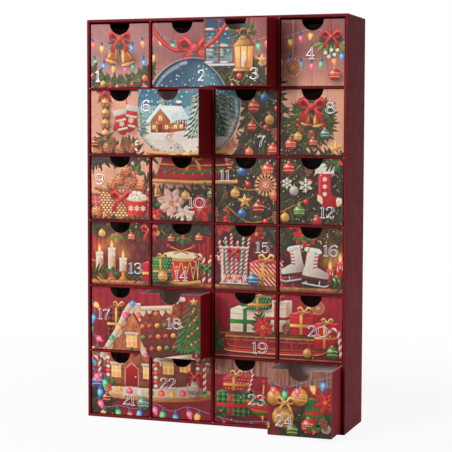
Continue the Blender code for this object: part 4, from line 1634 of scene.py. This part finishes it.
def paintStocking():
    ribbon(1.4, (104, 297), (120, 288), (138, 298))
    shadow(126, 262, 30, 40, 0.5)
    cane(122, 282, 0.66, 8)
    gift(128, 286, 10, 9, "green", "gold")
    stocking(126, 264, 1.2)
    firSpray(147, 296, 24, -160, 4)
    holly(143, 292, 1, 180)
    snowflake(105, 268, 7.5)


# Curtain folds between two sides, gathered at a gold cord
def drape(lowX, highX, low, high):
    here, gx, gz = window(lowX, low, highX, high)
    middle, waist = (lowX + highX) / 2, low + 22
    run = (gx - middle) / (1 - 0.35 * np.exp(-((gz - waist) / 14) ** 2))
    folds = np.sin(run * 1.15 + 0.6 * np.sin(gz / 17)) * 0.5 + 0.3 * np.sin(run * 2.7 + 1)
    lay(here, edgeCover(np.abs(run) - (highX - lowX) / 2 + 1, 1.2), blend("4a070e", "c22a30", 0.45 + 0.5 * folds), 0.1)
    tube([(lowX + 4, waist), (middle, waist - 1.6), (highX - 4, waist)], 1.8, *goldTone, stripe="a86a20", pitch=2.2)


def paintShelf():
    top, (light, dark) = roomLook["shelfTop"], roomLook["shelf"]
    drape(-151, -129, top, 224)
    drape(-19, 3, top, 224)
    firBed([(-149, 226), (-149, 215), (-112, 207), (-76, 214), (-40, 206), (0, 216), (0, 226)], 5, -90, 75, 44, 11)
    baubles((-134, 210, 4.4, "gold", 1), (-98, 207, 4.4, "red", 1), (-68, 212, 4.4, "gold", 1),
            (-50, 206, 4.4, "wine", 1), (-17, 208, 4.4, "red", 1))
    holly(-116, 209, 0.9, -90)
    holly(-36, 208, 0.9, -90)
    bow(-76, 214)
    glow(-118, 200, 60, "ff9a3c", 0.30)
    glow(130, 196, 46, "ff7a2c", 0.25)
    bar(-149, top - 2.6, 149, top - 2.6, 5.2, light, dark, rough=0.25)
    bar(-149, top - 6.4, 149, top - 6.4, 2.4, blend(light, dark, 0.4), dark, rough=0.25)
    for x, z, high in ((-137, 170, 18), (-122, 166, 27), (-108, 168, 14)):
        shape([(x - 6, top), (x + 6, top), (x + 2.4, top + 5), (x + 2, z - 2), (x + 7, z), (x - 7, z),
               (x - 2, z - 2), (x - 2.4, top + 5)], *baubleLook["gold"], along=(1, -0.2), rim="6a3c12", rimWidth=0.8)
        candle(x, z, 9.4, high, flame=1.15)
    firSpray(-149, 164, 24, 12, 4)
    firSpray(-84, 162, 22, 165, 4)
    holly(-123, 163, 1, 70)
    holly(-80, 160, 0.9, 110)
    gift(-85, top, 24, 20)
    drum(-38, top)
    gift(-72, top, 18, 26, "green", wrap="dots")
    cane(-11, top + 1, 1.13)
    cane(-4, top + 1, 1.13, flip=True)
    bow(-8, top + 16, 0.8, kind="green")
    bauble(-60, top + 6, 6, "gold", 2)
    gift(42, top, 30, 25, wrap="stripes")
    sweetJar(24, top + 1)
    bauble(46, top + 6.4, 6.6, "blue", 1)
    for x, z, high in ((133, top + 6, 14), (144, top + 4, 24)):
        candle(x, z, 9, high, "d2333a", "5c0b10", 1.2)
    panel(74, top, 104, top + 16, *giftLook["red"], along=(0.5, -1), pattern=plaidCloth)
    skate(96, 176, 1.08, 10, True)
    skate(112, 172, 1.16, -8)
    for lace in ([(108, 196), (112, 210), (104, 222)], [(100, 200), (98, 212), (104, 222)]):
        ribbon(1, *lace)
    holly(104, 206, 0.9, 90)
    bauble(140, top + 7, 6.4, "green", 2)
    firSpray(149, 160, 20, 165, 3)


def paintSledge():
    bar(0, 104, 149, 104, 1.6, "e0a860", "6a3216")
    bar(0, 97, 149, 97, 1, "c88a50", "5a2412")
    for step in range(26):
        oval(4 + step * 5.8, 100.5, 1.7, 1.9, *(("3a6f8a", "123048") if step % 2 else ("f0cf8a", "8a5a1e")))
    sledge(72, 86)
    gift(20, 106, 34, 25, "cream", "green")
    gift(60, 108, 24, 32, "cream", "red")
    gift(88, 106, 26, 22)
    gift(40, 131, 22, 13, "green", wrap="dots")
    firSpray(56, 108, 22, 100, 4)
    poinsettia(58, 112, 0.9, 12)
    cone(84, 118, 13, -90)
    gift(116, 92, 22, 26)
    baubles((136, 88, 6.6, "green", 1), (108, 86, 5, "gold"))
    cane(146, 84, 1.13, 6)
    strawStar(120, 136, 8)


def paintHouse():
    glow(-75, 90, 70, "ff7a3c", 0.08)
    lightString([(-149, 138), (-143, 120), (-146, 100), (-140, 82), (-149, 70)],
                "yellow blue green pink", 13.5, 5, 1.2, 60)
    gift(-128, 92, 22, 34, "wine", wrap="plaid")
    gingerHouse(-84, 36, 1.06)
    firTree(-10, 84, 57, 34, light="5c9a50")
    for step in range(15):
        kind = ("red", "gold", "orange")[step % 3]
        oval(-10 + (step % 4 - 1.5) * 5 * (1 - step / 19), 91 + step * 3, 1.5, 1.5, *baubleLook[kind])
    star(-10, 141, 5)
    firBed([(-149, 3), (-149, 34), (-134, 30), (-122, 12), (-118, 3)], 6, 60, 70, 21, 13)
    baubles((-140, 40, 7.4, "blue", 1), (-129, 22, 5.4, "wine", 1), (-84, 18, 7.6, "teal", 2),
            (-24, 40, 7.4, "silver", 2))
    bow(-22, 52, 0.9)
    holly(-126, 36, 1, 100)
    lightString([(-149, 56), (-138, 52), (-128, 44), (-140, 30), (-132, 12), (-114, 14), (-92, 12), (-72, 20),
                 (-50, 12), (-30, 18), (-4, 12)], "pink green blue pink yellow green red blue", 15, 6, 1.35, 22)


def paintFloorToys():
    for level in (44, 30, 15):
        bar(-2, level, 149, level - 2, 0.6, "3a0c12", cover=0.5)
    gift(4, 12, 34, 26, "green", "red", wrap="plaid")
    gift(12, 40, 24, 15, wrap="dots")
    spinTop(58, 27, 1.02)
    firSpray(2, 12, 18, 20, 3)
    bauble(74, 14, 5.4, "gold", 1)
    cane(42, 40, 0.87, -14)
    firBed([(92, 3), (98, 22), (116, 30), (149, 34), (149, 3)], 6, 80, 80, 14, 14)
    gift(118, 18, 22, 26, "green", "red")
    baubles((94, 24, 12, "gold", 1), (112, 46, 9.4, "gold", 2), (84, 44, 8.4, "gold"), (122, 16, 8, "red", 2),
            (104, 10, 6.4, "green", 1), (141, 14, 5.4, "silver"))
    bow(96, 39, kind="gold")
    cone(136, 26, 15, -70)
    poinsettia(140, 42, 0.9)
    holly(128, 10, 0.9, 90)
    lightString([(76, 62), (96, 56), (118, 62), (149, 70)], "red green pink yellow blue", 15, 6, 1.25, 14)
    lightString([(4, 10), (30, 6), (60, 8), (76, 6)], "pink yellow", 17, 8, 1, 16)


# Small lights with a halo, scattered over the dark places
def paintSparkles():
    gen = np.random.default_rng(31)
    for step in range(420):
        x, z = gen.uniform(-149, 149), gen.uniform(4, 300)
        col, row = int((x - sheet["left"]) / sheet["cell"]), int((z - sheet["low"]) / sheet["cell"])
        if paint[row, col].mean() < 0.17:
            size = gen.uniform(0.35, 0.7)
            glow(x, z, size * 4.5, "ffc070", 0.35)
            oval(x, z, size, size, "fff0c0", "f0b050")


# The bite at the edges of things, as in a printed picture, and the tone of its inks in colours and in whites
inkLook = {
    "reach": 3.2, "bite": 0.32, "colour": (0.965, 0.875, 0.875), "white": (0.93, 0.93, 0.89),
    "levels": ((0, 0.25, 0.5, 0.75, 1), (0, 0.235, 0.515, 0.745, 0.91)),    # how dark to light each tone prints
    "deepColour": 0.25,                                                     # more colour in the dark tones
}


def settleInks():
    steps, soft = max(int(inkLook["reach"] / sheet["cell"]), 1), paint.copy()
    count = 2 * steps + 1
    for axis in (0, 1):
        padded = np.concatenate([np.take(soft, [0] * (steps + 1), axis), soft, np.take(soft, [-1] * steps, axis)], axis)
        total, length = np.cumsum(padded, axis), soft.shape[axis]
        soft = (np.take(total, range(count, count + length), axis) - np.take(total, range(length), axis)) / count
    paint[:] = np.clip(paint + (paint - soft) * inkLook["bite"], 0.01, 0.98)
    level = paint.mean(-1)[..., None]
    strength = 1 + inkLook["deepColour"] * np.clip((0.45 - level) / 0.25, 0, 1)
    paint[:] = np.clip(np.interp(level, *inkLook["levels"]) + (paint - level) * strength, 0.01, 0.98)
    paint[:] *= blend(inkLook["colour"], inkLook["white"], (paint.min(-1) - 0.45) / 0.3)


paintRoom()
paintStrings()
paintCascade()
paintBells()
paintLanternCorner()
paintWallHangings()
paintSleighBells()
paintBasket()
snowGlobe(-24, 351)
paintPoinsettias()
paintStocking()
paintShelf()
paintSledge()
paintHouse()
paintFloorToys()
paintSparkles()
settleInks()
print("picture painted:", paint.shape[1], "by", paint.shape[0], "points")


# Numbers: outlined pen strokes, each point (across, up, half width) in millimetres

digitStrokes = {
    "0": [[(0, 6.1, 0.3), (2.9, 3.9, 0.9), (3.5, 0, 1.2), (2.9, -3.9, 0.9), (0, -6.1, 0.3),
           (-2.9, -3.9, 0.9), (-3.5, 0, 1.2), (-2.9, 3.9, 0.9), (0, 6.1, 0.3)]],
    "1": [[(0, 5.6, 1.05), (0, 0, 1.05), (0, -5.9, 1.05)], [(0.3, 6.2, 0.3), (-1.2, 5.3, 0.3), (-2.6, 5.0, 0.25)],
          [(-2.7, -6.1, 0.28), (2.7, -6.1, 0.28)]],
    "2": [[(-2.7, 3.5, 0.85), (-2.6, 3.6, 0.8)], [(-3.3, 3.7, 0.3), (-2.3, 5.6, 0.3), (0.2, 6.2, 0.4), (2.6, 4.9, 0.95),
           (2.8, 2.7, 1.1), (1.4, 0.2, 0.8), (-1.2, -3.0, 0.4), (-3.3, -5.6, 0.3)],
          [(-3.3, -5.9, 0.3), (-1.4, -5.3, 0.65), (1.2, -5.7, 0.8), (3.0, -5.6, 0.5), (3.7, -3.8, 0.25)]],
    "3": [[(-2.5, 4.1, 0.8), (-2.4, 4.2, 0.8)], [(-3.1, 4.3, 0.3), (-1.8, 5.9, 0.3), (0.3, 6.2, 0.4), (2.3, 4.9, 0.9),
           (2.3, 2.3, 0.95), (0.6, 0.6, 0.35), (-1.0, 0.4, 0.25)],
          [(-1.0, 0.4, 0.25), (1.2, 0.2, 0.4), (3.0, -1.6, 1.0), (2.9, -4.2, 1.1), (0.5, -6.2, 0.4), (-2.0, -5.8, 0.3),
           (-3.3, -4.3, 0.3)], [(-2.7, -4.0, 0.85), (-2.6, -4.1, 0.85)]],
    "4": [[(1.5, 6.0, 0.95), (1.5, 0, 1.0), (1.5, -5.9, 1.0)], [(1.4, 6.2, 0.3), (-1.4, 1.9, 0.3), (-3.9, -2.3, 0.3)],
          [(-4.0, -2.5, 0.3), (3.9, -2.5, 0.3)], [(-0.9, -6.1, 0.28), (3.8, -6.1, 0.28)]],
    "5": [[(-2.0, 5.5, 0.4), (0.4, 5.3, 0.75), (2.8, 6.0, 0.35)],
          [(-2.1, 6.0, 0.28), (-2.5, 3.0, 0.28), (-2.7, 0.5, 0.28)],
          [(-2.7, 0.5, 0.28), (-0.8, 1.7, 0.4), (1.5, 1.5, 0.75), (3.0, -0.8, 1.1), (2.8, -3.7, 1.1), (0.6, -6.1, 0.4),
           (-2.0, -5.8, 0.3), (-3.3, -4.3, 0.3)], [(-2.7, -4.1, 0.85), (-2.6, -4.2, 0.85)]],
    "6": [[(2.5, 4.5, 0.8), (2.4, 4.6, 0.8)], [(3.1, 4.8, 0.3), (1.4, 6.2, 0.3), (-1.1, 5.4, 0.55), (-2.9, 2.5, 1.0),
           (-3.3, -1.4, 1.15), (-2.5, -4.6, 0.9), (0, -6.1, 0.35), (2.4, -4.9, 0.85), (3.0, -2.2, 1.05),
           (2.2, 0.3, 0.8), (0.2, 1.3, 0.3), (-2.2, 0.1, 0.28), (-3.2, -1.6, 0.28)]],
    "7": [[(-3.4, 3.7, 0.25), (-3.0, 5.3, 0.5), (-0.9, 5.5, 0.8), (1.5, 5.2, 0.6), (3.6, 6.1, 0.3)],
          [(3.6, 6.0, 0.3), (1.2, 1.9, 0.5), (-0.3, -1.8, 0.9), (-0.9, -5.9, 1.1)]],
    "8": [[(0, 6.1, 0.35), (2.0, 4.9, 0.75), (2.1, 2.6, 0.8), (0, 0.9, 0.4), (-2.3, 2.6, 0.8), (-2.1, 4.9, 0.75),
           (0, 6.1, 0.35)],
          [(0, 0.9, 0.4), (2.7, -1.0, 0.9), (3.0, -3.8, 1.0), (0, -6.1, 0.4), (-3.0, -3.8, 1.0),
           (-2.7, -1.0, 0.85), (0, 0.9, 0.4)]],
}
digitStrokes["9"] = [[(-x, -z, half) for x, z, half in stroke] for stroke in digitStrokes["6"]]
numberLook = {
    "line": 0.36,            # width of the silver outline
    "rise": 0.92,            # how tall the strokes stand against the list above
    "thinner": 0.13,         # taken off each half width
    # each digit's width against the list above, and the room that it takes
    "digits": {"0": (1.6, 14.4), "1": (1.0, 6.3), "2": (1.14, 9.9), "3": (1.24, 10.6), "4": (1.1, 10.4),
               "5": (1.12, 9.8), "6": (1.3, 11.0), "7": (1.12, 9.4), "8": (1.4, 11.0), "9": (1.36, 11.8)},
    "thickness": 0.06,
    "grid": 0.13,
    "inside": "cbb9c2", "insideShare": 0.14,
    "shadowShare": 0.34,
    # the middle of each number on the sheet
    "places": {
        1: (-138.5, 386.7), 2: (-14.4, 386.6), 3: (58.1, 386.6), 4: (109.2, 408.8),
        5: (-89.5, 309.5), 6: (-62.9, 353.0), 7: (54.7, 315.4), 8: (131.8, 350.8),
        9: (-136.4, 271.3), 10: (-19.6, 246.8), 11: (13.3, 277.3), 12: (129.0, 239.2),
        13: (-93.3, 171.6), 14: (-38.0, 165.3), 15: (56.6, 199.6), 16: (133.6, 198.3),
        17: (-131.9, 118.0), 18: (-32.9, 116.2), 19: (54.1, 89.2), 20: (120.0, 110.6),
        21: (-101.6, 21.2), 22: (-53.9, 43.0), 23: (50.4, 31.3), 24: (94.7, 19.4),
    },
}


# Distance to the edge of a number's strokes, below 0 inside
def numberDistance(number, gx, gz):
    digits = str(number)
    centreX, centreZ = numberLook["places"][number]
    start = centreX - sum(numberLook["digits"][digit][1] for digit in digits) / 2
    best = np.full(np.broadcast(gx, gz).shape, 1e9)
    for digit in digits:
        stretch, wide = numberLook["digits"][digit]
        for stroke in digitStrokes[digit]:
            path = smooth(*stroke, steps=7) if len(stroke) > 2 else np.asarray(stroke, float)
            path = path * (stretch, numberLook["rise"], 1) - (0, 0, numberLook["thinner"])
            for (ax, az, ah), (bx, bz, bh) in zip(path[:-1], path[1:]):
                ex, ez = bx - ax, bz - az
                px, pz = gx - start - wide / 2 - ax, gz - centreZ - az
                share = np.clip((px * ex + pz * ez) / (ex * ex + ez * ez + 1e-9), 0, 1)
                best = np.minimum(best, np.hypot(px - share * ex, pz - share * ez) - ah - (bh - ah) * share)
        start += wide
    return best


def paintNumbers():
    for number, (x, z) in numberLook["places"].items():
        here, gx, gz = window(x - 14, z - 9, x + 14, z + 9)
        distance = numberDistance(number, gx, gz)
        offset = numberDistance(number, gx - 0.5, gz + 0.6)
        paint[here] *= 1 - (np.clip(0.5 - (offset - 0.5) / 1.4, 0, 1) * numberLook["shadowShare"])[..., None]
        lay(here, edgeCover(distance) * numberLook["insideShare"], numberLook["inside"], 0)


paintNumbers()


# Flat pieces from a field: the area where it is above 0, cut at its edge inside each cell

def filledContour(field, xs, zs):
    inside = field > 0
    points, faces, known = [], [], {}

    def vertex(key, x, z):
        if key not in known:
            known[key] = len(points)
            points.append((x, z))
        return known[key]

    def crossing(rowA, colA, rowB, colB):
        if (rowB, colB) < (rowA, colA):
            rowA, colA, rowB, colB = rowB, colB, rowA, colA
        share = min(max(field[rowA, colA] / (field[rowA, colA] - field[rowB, colB]), 0.06), 0.94)
        x, z = xs[colA] + (xs[colB] - xs[colA]) * share, zs[rowA] + (zs[rowB] - zs[rowA]) * share
        return vertex((rowA, colA, rowB, colB), x, z)

    touched = inside[:-1, :-1] | inside[1:, :-1] | inside[:-1, 1:] | inside[1:, 1:]
    for row, col in np.argwhere(touched):
        corners = ((row, col), (row, col + 1), (row + 1, col + 1), (row + 1, col))
        face = []
        for (rowA, colA), (rowB, colB) in zip(corners, corners[1:] + corners[:1]):
            if inside[rowA, colA]:
                face.append(vertex((rowA, colA), xs[colA], zs[rowA]))
            if inside[rowA, colA] != inside[rowB, colB]:
                face.append(crossing(rowA, colA, rowB, colB))
        if len(face) > 2:
            faces.append(face)
    return np.array(points), faces


def borderLoops(faces):
    following = {}
    edges = {(a, b) for face in faces for a, b in zip(face, face[1:] + face[:1])}
    for a, b in edges:
        if (b, a) not in edges:
            following.setdefault(a, []).append(b)
    loops = []
    while following:
        start = next(iter(following))
        loop, here = [], start
        while here in following:
            loop.append(here)
            ahead = following[here].pop()
            if not following[here]:
                del following[here]
            here = ahead
        loops.append(loop)
    return loops


# A solid from a flat area: front face, rings round its border (outward, back), and the same area or one face behind
def solidFrom(points, faces, rings, fillBack):
    loops = borderLoops(faces)
    solid = [(x, 0.0, z) for x, z in points]
    solidFaces = [tuple(face) for face in faces]
    lastRing = {}
    for loop in loops:
        ring = points[loop]
        tangent = np.roll(ring, -1, 0) - np.roll(ring, 1, 0)
        outward = np.column_stack((tangent[:, 1], -tangent[:, 0])) / (np.hypot(*tangent.T)[:, None] + 1e-12)
        before = list(loop)
        for out, back in rings:
            now = list(range(len(solid), len(solid) + len(loop)))
            solid += [(x, back, z) for x, z in ring + outward * out]
            count = len(loop)
            solidFaces += [(before[i], now[i], now[(i + 1) % count], before[(i + 1) % count]) for i in range(count)]
            before = now
        if fillBack == "face":
            solidFaces.append(tuple(reversed(before)))
        lastRing.update(zip(loop, before))
    if fillBack == "copy":
        depth = rings[-1][1]
        mapped = []
        for index, (x, z) in enumerate(points):
            if index in lastRing:
                mapped.append(lastRing[index])
            else:
                mapped.append(len(solid))
                solid.append((x, depth, z))
        solidFaces += [tuple(mapped[index] for index in reversed(face)) for face in faces]
    return np.array(solid), solidFaces


def meshPiece(name, verts, faces, material, body):
    mesh = bpy.data.meshes.new(name)
    mesh.from_pydata(verts.tolist(), [], faces)
    mesh.materials.append(material)
    mesh.update()
    piece = bpy.data.objects.new(name, mesh)
    scene.collection.objects.link(piece)
    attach(piece, body)
    return piece


boardLook = {
    "step": 0.4,
    "round": 0.30,           # how far the edges roll over
    "notch": 12.0,
    "backInset": 0.10,
    "wrap": 0.2,             # how far the picture runs over the edge
}


# One board as a flat grid with its thumb notch, edges rolled, around (0, 0) at the middle of its foot
def boardShape(wide, high, thick):
    roll, step = boardLook["round"], boardLook["step"]
    xs = np.linspace(-wide / 2 + roll, wide / 2 - roll, int(wide / step) + 1)
    zs = np.linspace(roll, high - roll, int(high / step) + 1)
    field = np.hypot(xs[None, :], zs[:, None] - high) - boardLook["notch"] - roll
    points, faces = filledContour(field, xs, zs)
    rings = [(roll * math.sin(turn), roll * (1 - math.cos(turn))) for turn in (0.5, 1.05, math.pi / 2)]
    rings += [(roll, thick - boardLook["backInset"]), (roll - boardLook["backInset"], thick)]
    verts, solidFaces = solidFrom(points, faces, rings, "face")
    return verts, solidFaces, len(points)


def inkAt(x, z):
    col = np.clip((x - sheet["left"]) / sheet["cell"], 0, len(pointX) - 1.001)
    row = np.clip((z - sheet["low"]) / sheet["cell"], 0, len(pointZ) - 1.001)
    colLow, rowLow = col.astype(int), row.astype(int)
    colMix, rowMix = (col - colLow)[:, None], (row - rowLow)[:, None]
    lower = paint[rowLow, colLow] * (1 - colMix) + paint[rowLow, colLow + 1] * colMix
    upper = paint[rowLow + 1, colLow] * (1 - colMix) + paint[rowLow + 1, colLow + 1] * colMix
    shown = np.clip(lower * (1 - rowMix) + upper * rowMix, 0, 1)
    return np.where(shown <= 0.04045, shown / 12.92, ((shown + 0.055) / 1.055) ** 2.4)


def makeBoards():
    low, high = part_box("drawer_01_front")
    size = (high - low) / mm
    verts, faces, frontCount = boardShape(size.x, size.z, size.y)
    print("one board:", len(verts), "points")
    for name in drawerNames:
        low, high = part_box(name + "_front")
        middle = (low.x + high.x) / 2 / mm
        moved = (verts + (middle, low.y / mm, low.z / mm)) * mm
        piece = meshPiece(name + "_print", moved, faces, printBoard, name)
        ink = np.ones((len(verts), 4), np.float32)
        ink[:, :3] = inkAt(verts[:, 0] + middle, verts[:, 2] + low.z / mm)
        ink[frontCount:, 3] = np.clip(1.25 - verts[frontCount:, 1] / boardLook["wrap"], 0, 1)
        colours = piece.data.attributes.new("ink", "FLOAT_COLOR", "POINT")
        colours.data.foreach_set("color", ink.ravel())
        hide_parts(name + "_front")


def makeNumbers():
    for number, name in enumerate(drawerNames, 1):
        x, z = numberLook["places"][number]
        grid = numberLook["grid"]
        xs, zs = np.arange(x - 13.4, x + 13.4, grid), np.arange(z - 8, z + 8, grid)
        field = numberLook["line"] / 2 - np.abs(numberDistance(number, xs[None, :], zs[:, None]))
        points, faces = filledContour(field, xs, zs)
        verts, faces = solidFrom(points, faces, [(0.02, 0.02), (0.02, numberLook["thickness"] + 0.02)], "copy")
        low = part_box(name + "_front")[0]
        verts = (verts + (0, low.y / mm - numberLook["thickness"], 0)) * mm
        meshPiece(name + "_number", verts, faces, foil, name)


makeBoards()
makeNumbers()
print("boards and numbers made")


# The case's own small pieces: the lining sheet on the back, and bare flecks where the paper has rubbed through

caseLook = {
    "liningInset": 2.2,      # less than the wall, so that the lining covers the seam
    "liningThick": 0.2, "liningCorner": 1.6, "cornerSteps": 4,
    "fleckThick": 0.04, "fleckLong": 1.5, "fleckWide": 0.8,
}


def roundedCorners(wide, high, radius):
    turns = np.linspace(0, math.pi / 2, caseLook["cornerSteps"])
    corners = ((1, 1, 0), (-1, 1, 1), (-1, -1, 2), (1, -1, 3))
    return np.array([(signX * (wide / 2 - radius) + radius * math.cos(turn + quarter * math.pi / 2),
                      signZ * (high / 2 - radius) + radius * math.sin(turn + quarter * math.pi / 2))
                     for signX, signZ, quarter in corners for turn in turns])


def makeBackLining():
    low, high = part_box("case_frame")
    inset, thick = caseLook["liningInset"], caseLook["liningThick"]
    middleX, middleZ = (low.x + high.x) / 2 / mm, (low.z + high.z) / 2 / mm
    wide, tall = ((high[axis] - low[axis]) / mm - 2 * inset for axis in (0, 2))
    outline = roundedCorners(wide, tall, caseLook["liningCorner"])[::-1] + (middleX, middleZ)
    verts, faces = solidFrom(outline, [list(range(len(outline)))], [(0.04, -0.04), (0.04, -thick)], "face")
    verts = (verts + (0, high.y / mm + thick, 0)) * mm
    meshPiece("case_back_lining", verts, faces, liningPaper, "case")


# The corners of the cells along the walls, the ends of the uprights and one corner of the case
def fleckPlaces():
    low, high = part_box("case_frame")
    places = []
    for count in range(1, rows):
        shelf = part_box(f"shelf_{count}")
        level = (shelf[0].z + shelf[1].z) / 2 / mm
        places += [(shelf[0].x / mm + 0.2, level + 0.9), (shelf[1].x / mm - 0.2, level - 0.7)]
    for count, end in ((1, 0), (1, 1), (2, 0), (3, 1)):
        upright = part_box(f"upright_{count}")
        places.append(((upright[0].x + upright[1].x) / 2 / mm + 0.5, upright[end].z / mm))
    places.append((low.x / mm + 1.0, high.z / mm - 0.9))
    return places


def makeFlecks():
    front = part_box("case_frame")[0].y / mm
    gen = np.random.default_rng(9)
    verts, faces = [], []
    for x, z in fleckPlaces():
        turns = np.linspace(0, 2 * math.pi, 9)[:-1]
        reach = gen.uniform(0.55, 1.0, len(turns)) / 2
        across, up = caseLook["fleckLong"] * reach * np.cos(turns), caseLook["fleckWide"] * reach * np.sin(turns)
        outline = np.column_stack((x + across, z + up))
        part, partFaces = solidFrom(outline, [list(range(len(outline)))], [(0.01, caseLook["fleckThick"])], "face")
        faces += [tuple(index + len(verts) for index in face) for face in partFaces]
        verts += (part + (0, front - caseLook["fleckThick"], 0)).tolist()
    meshPiece("case_wear_flecks", np.array(verts) * mm, faces, bareFleck, "case")


makeBackLining()
makeFlecks()
print("lining and flecks made")
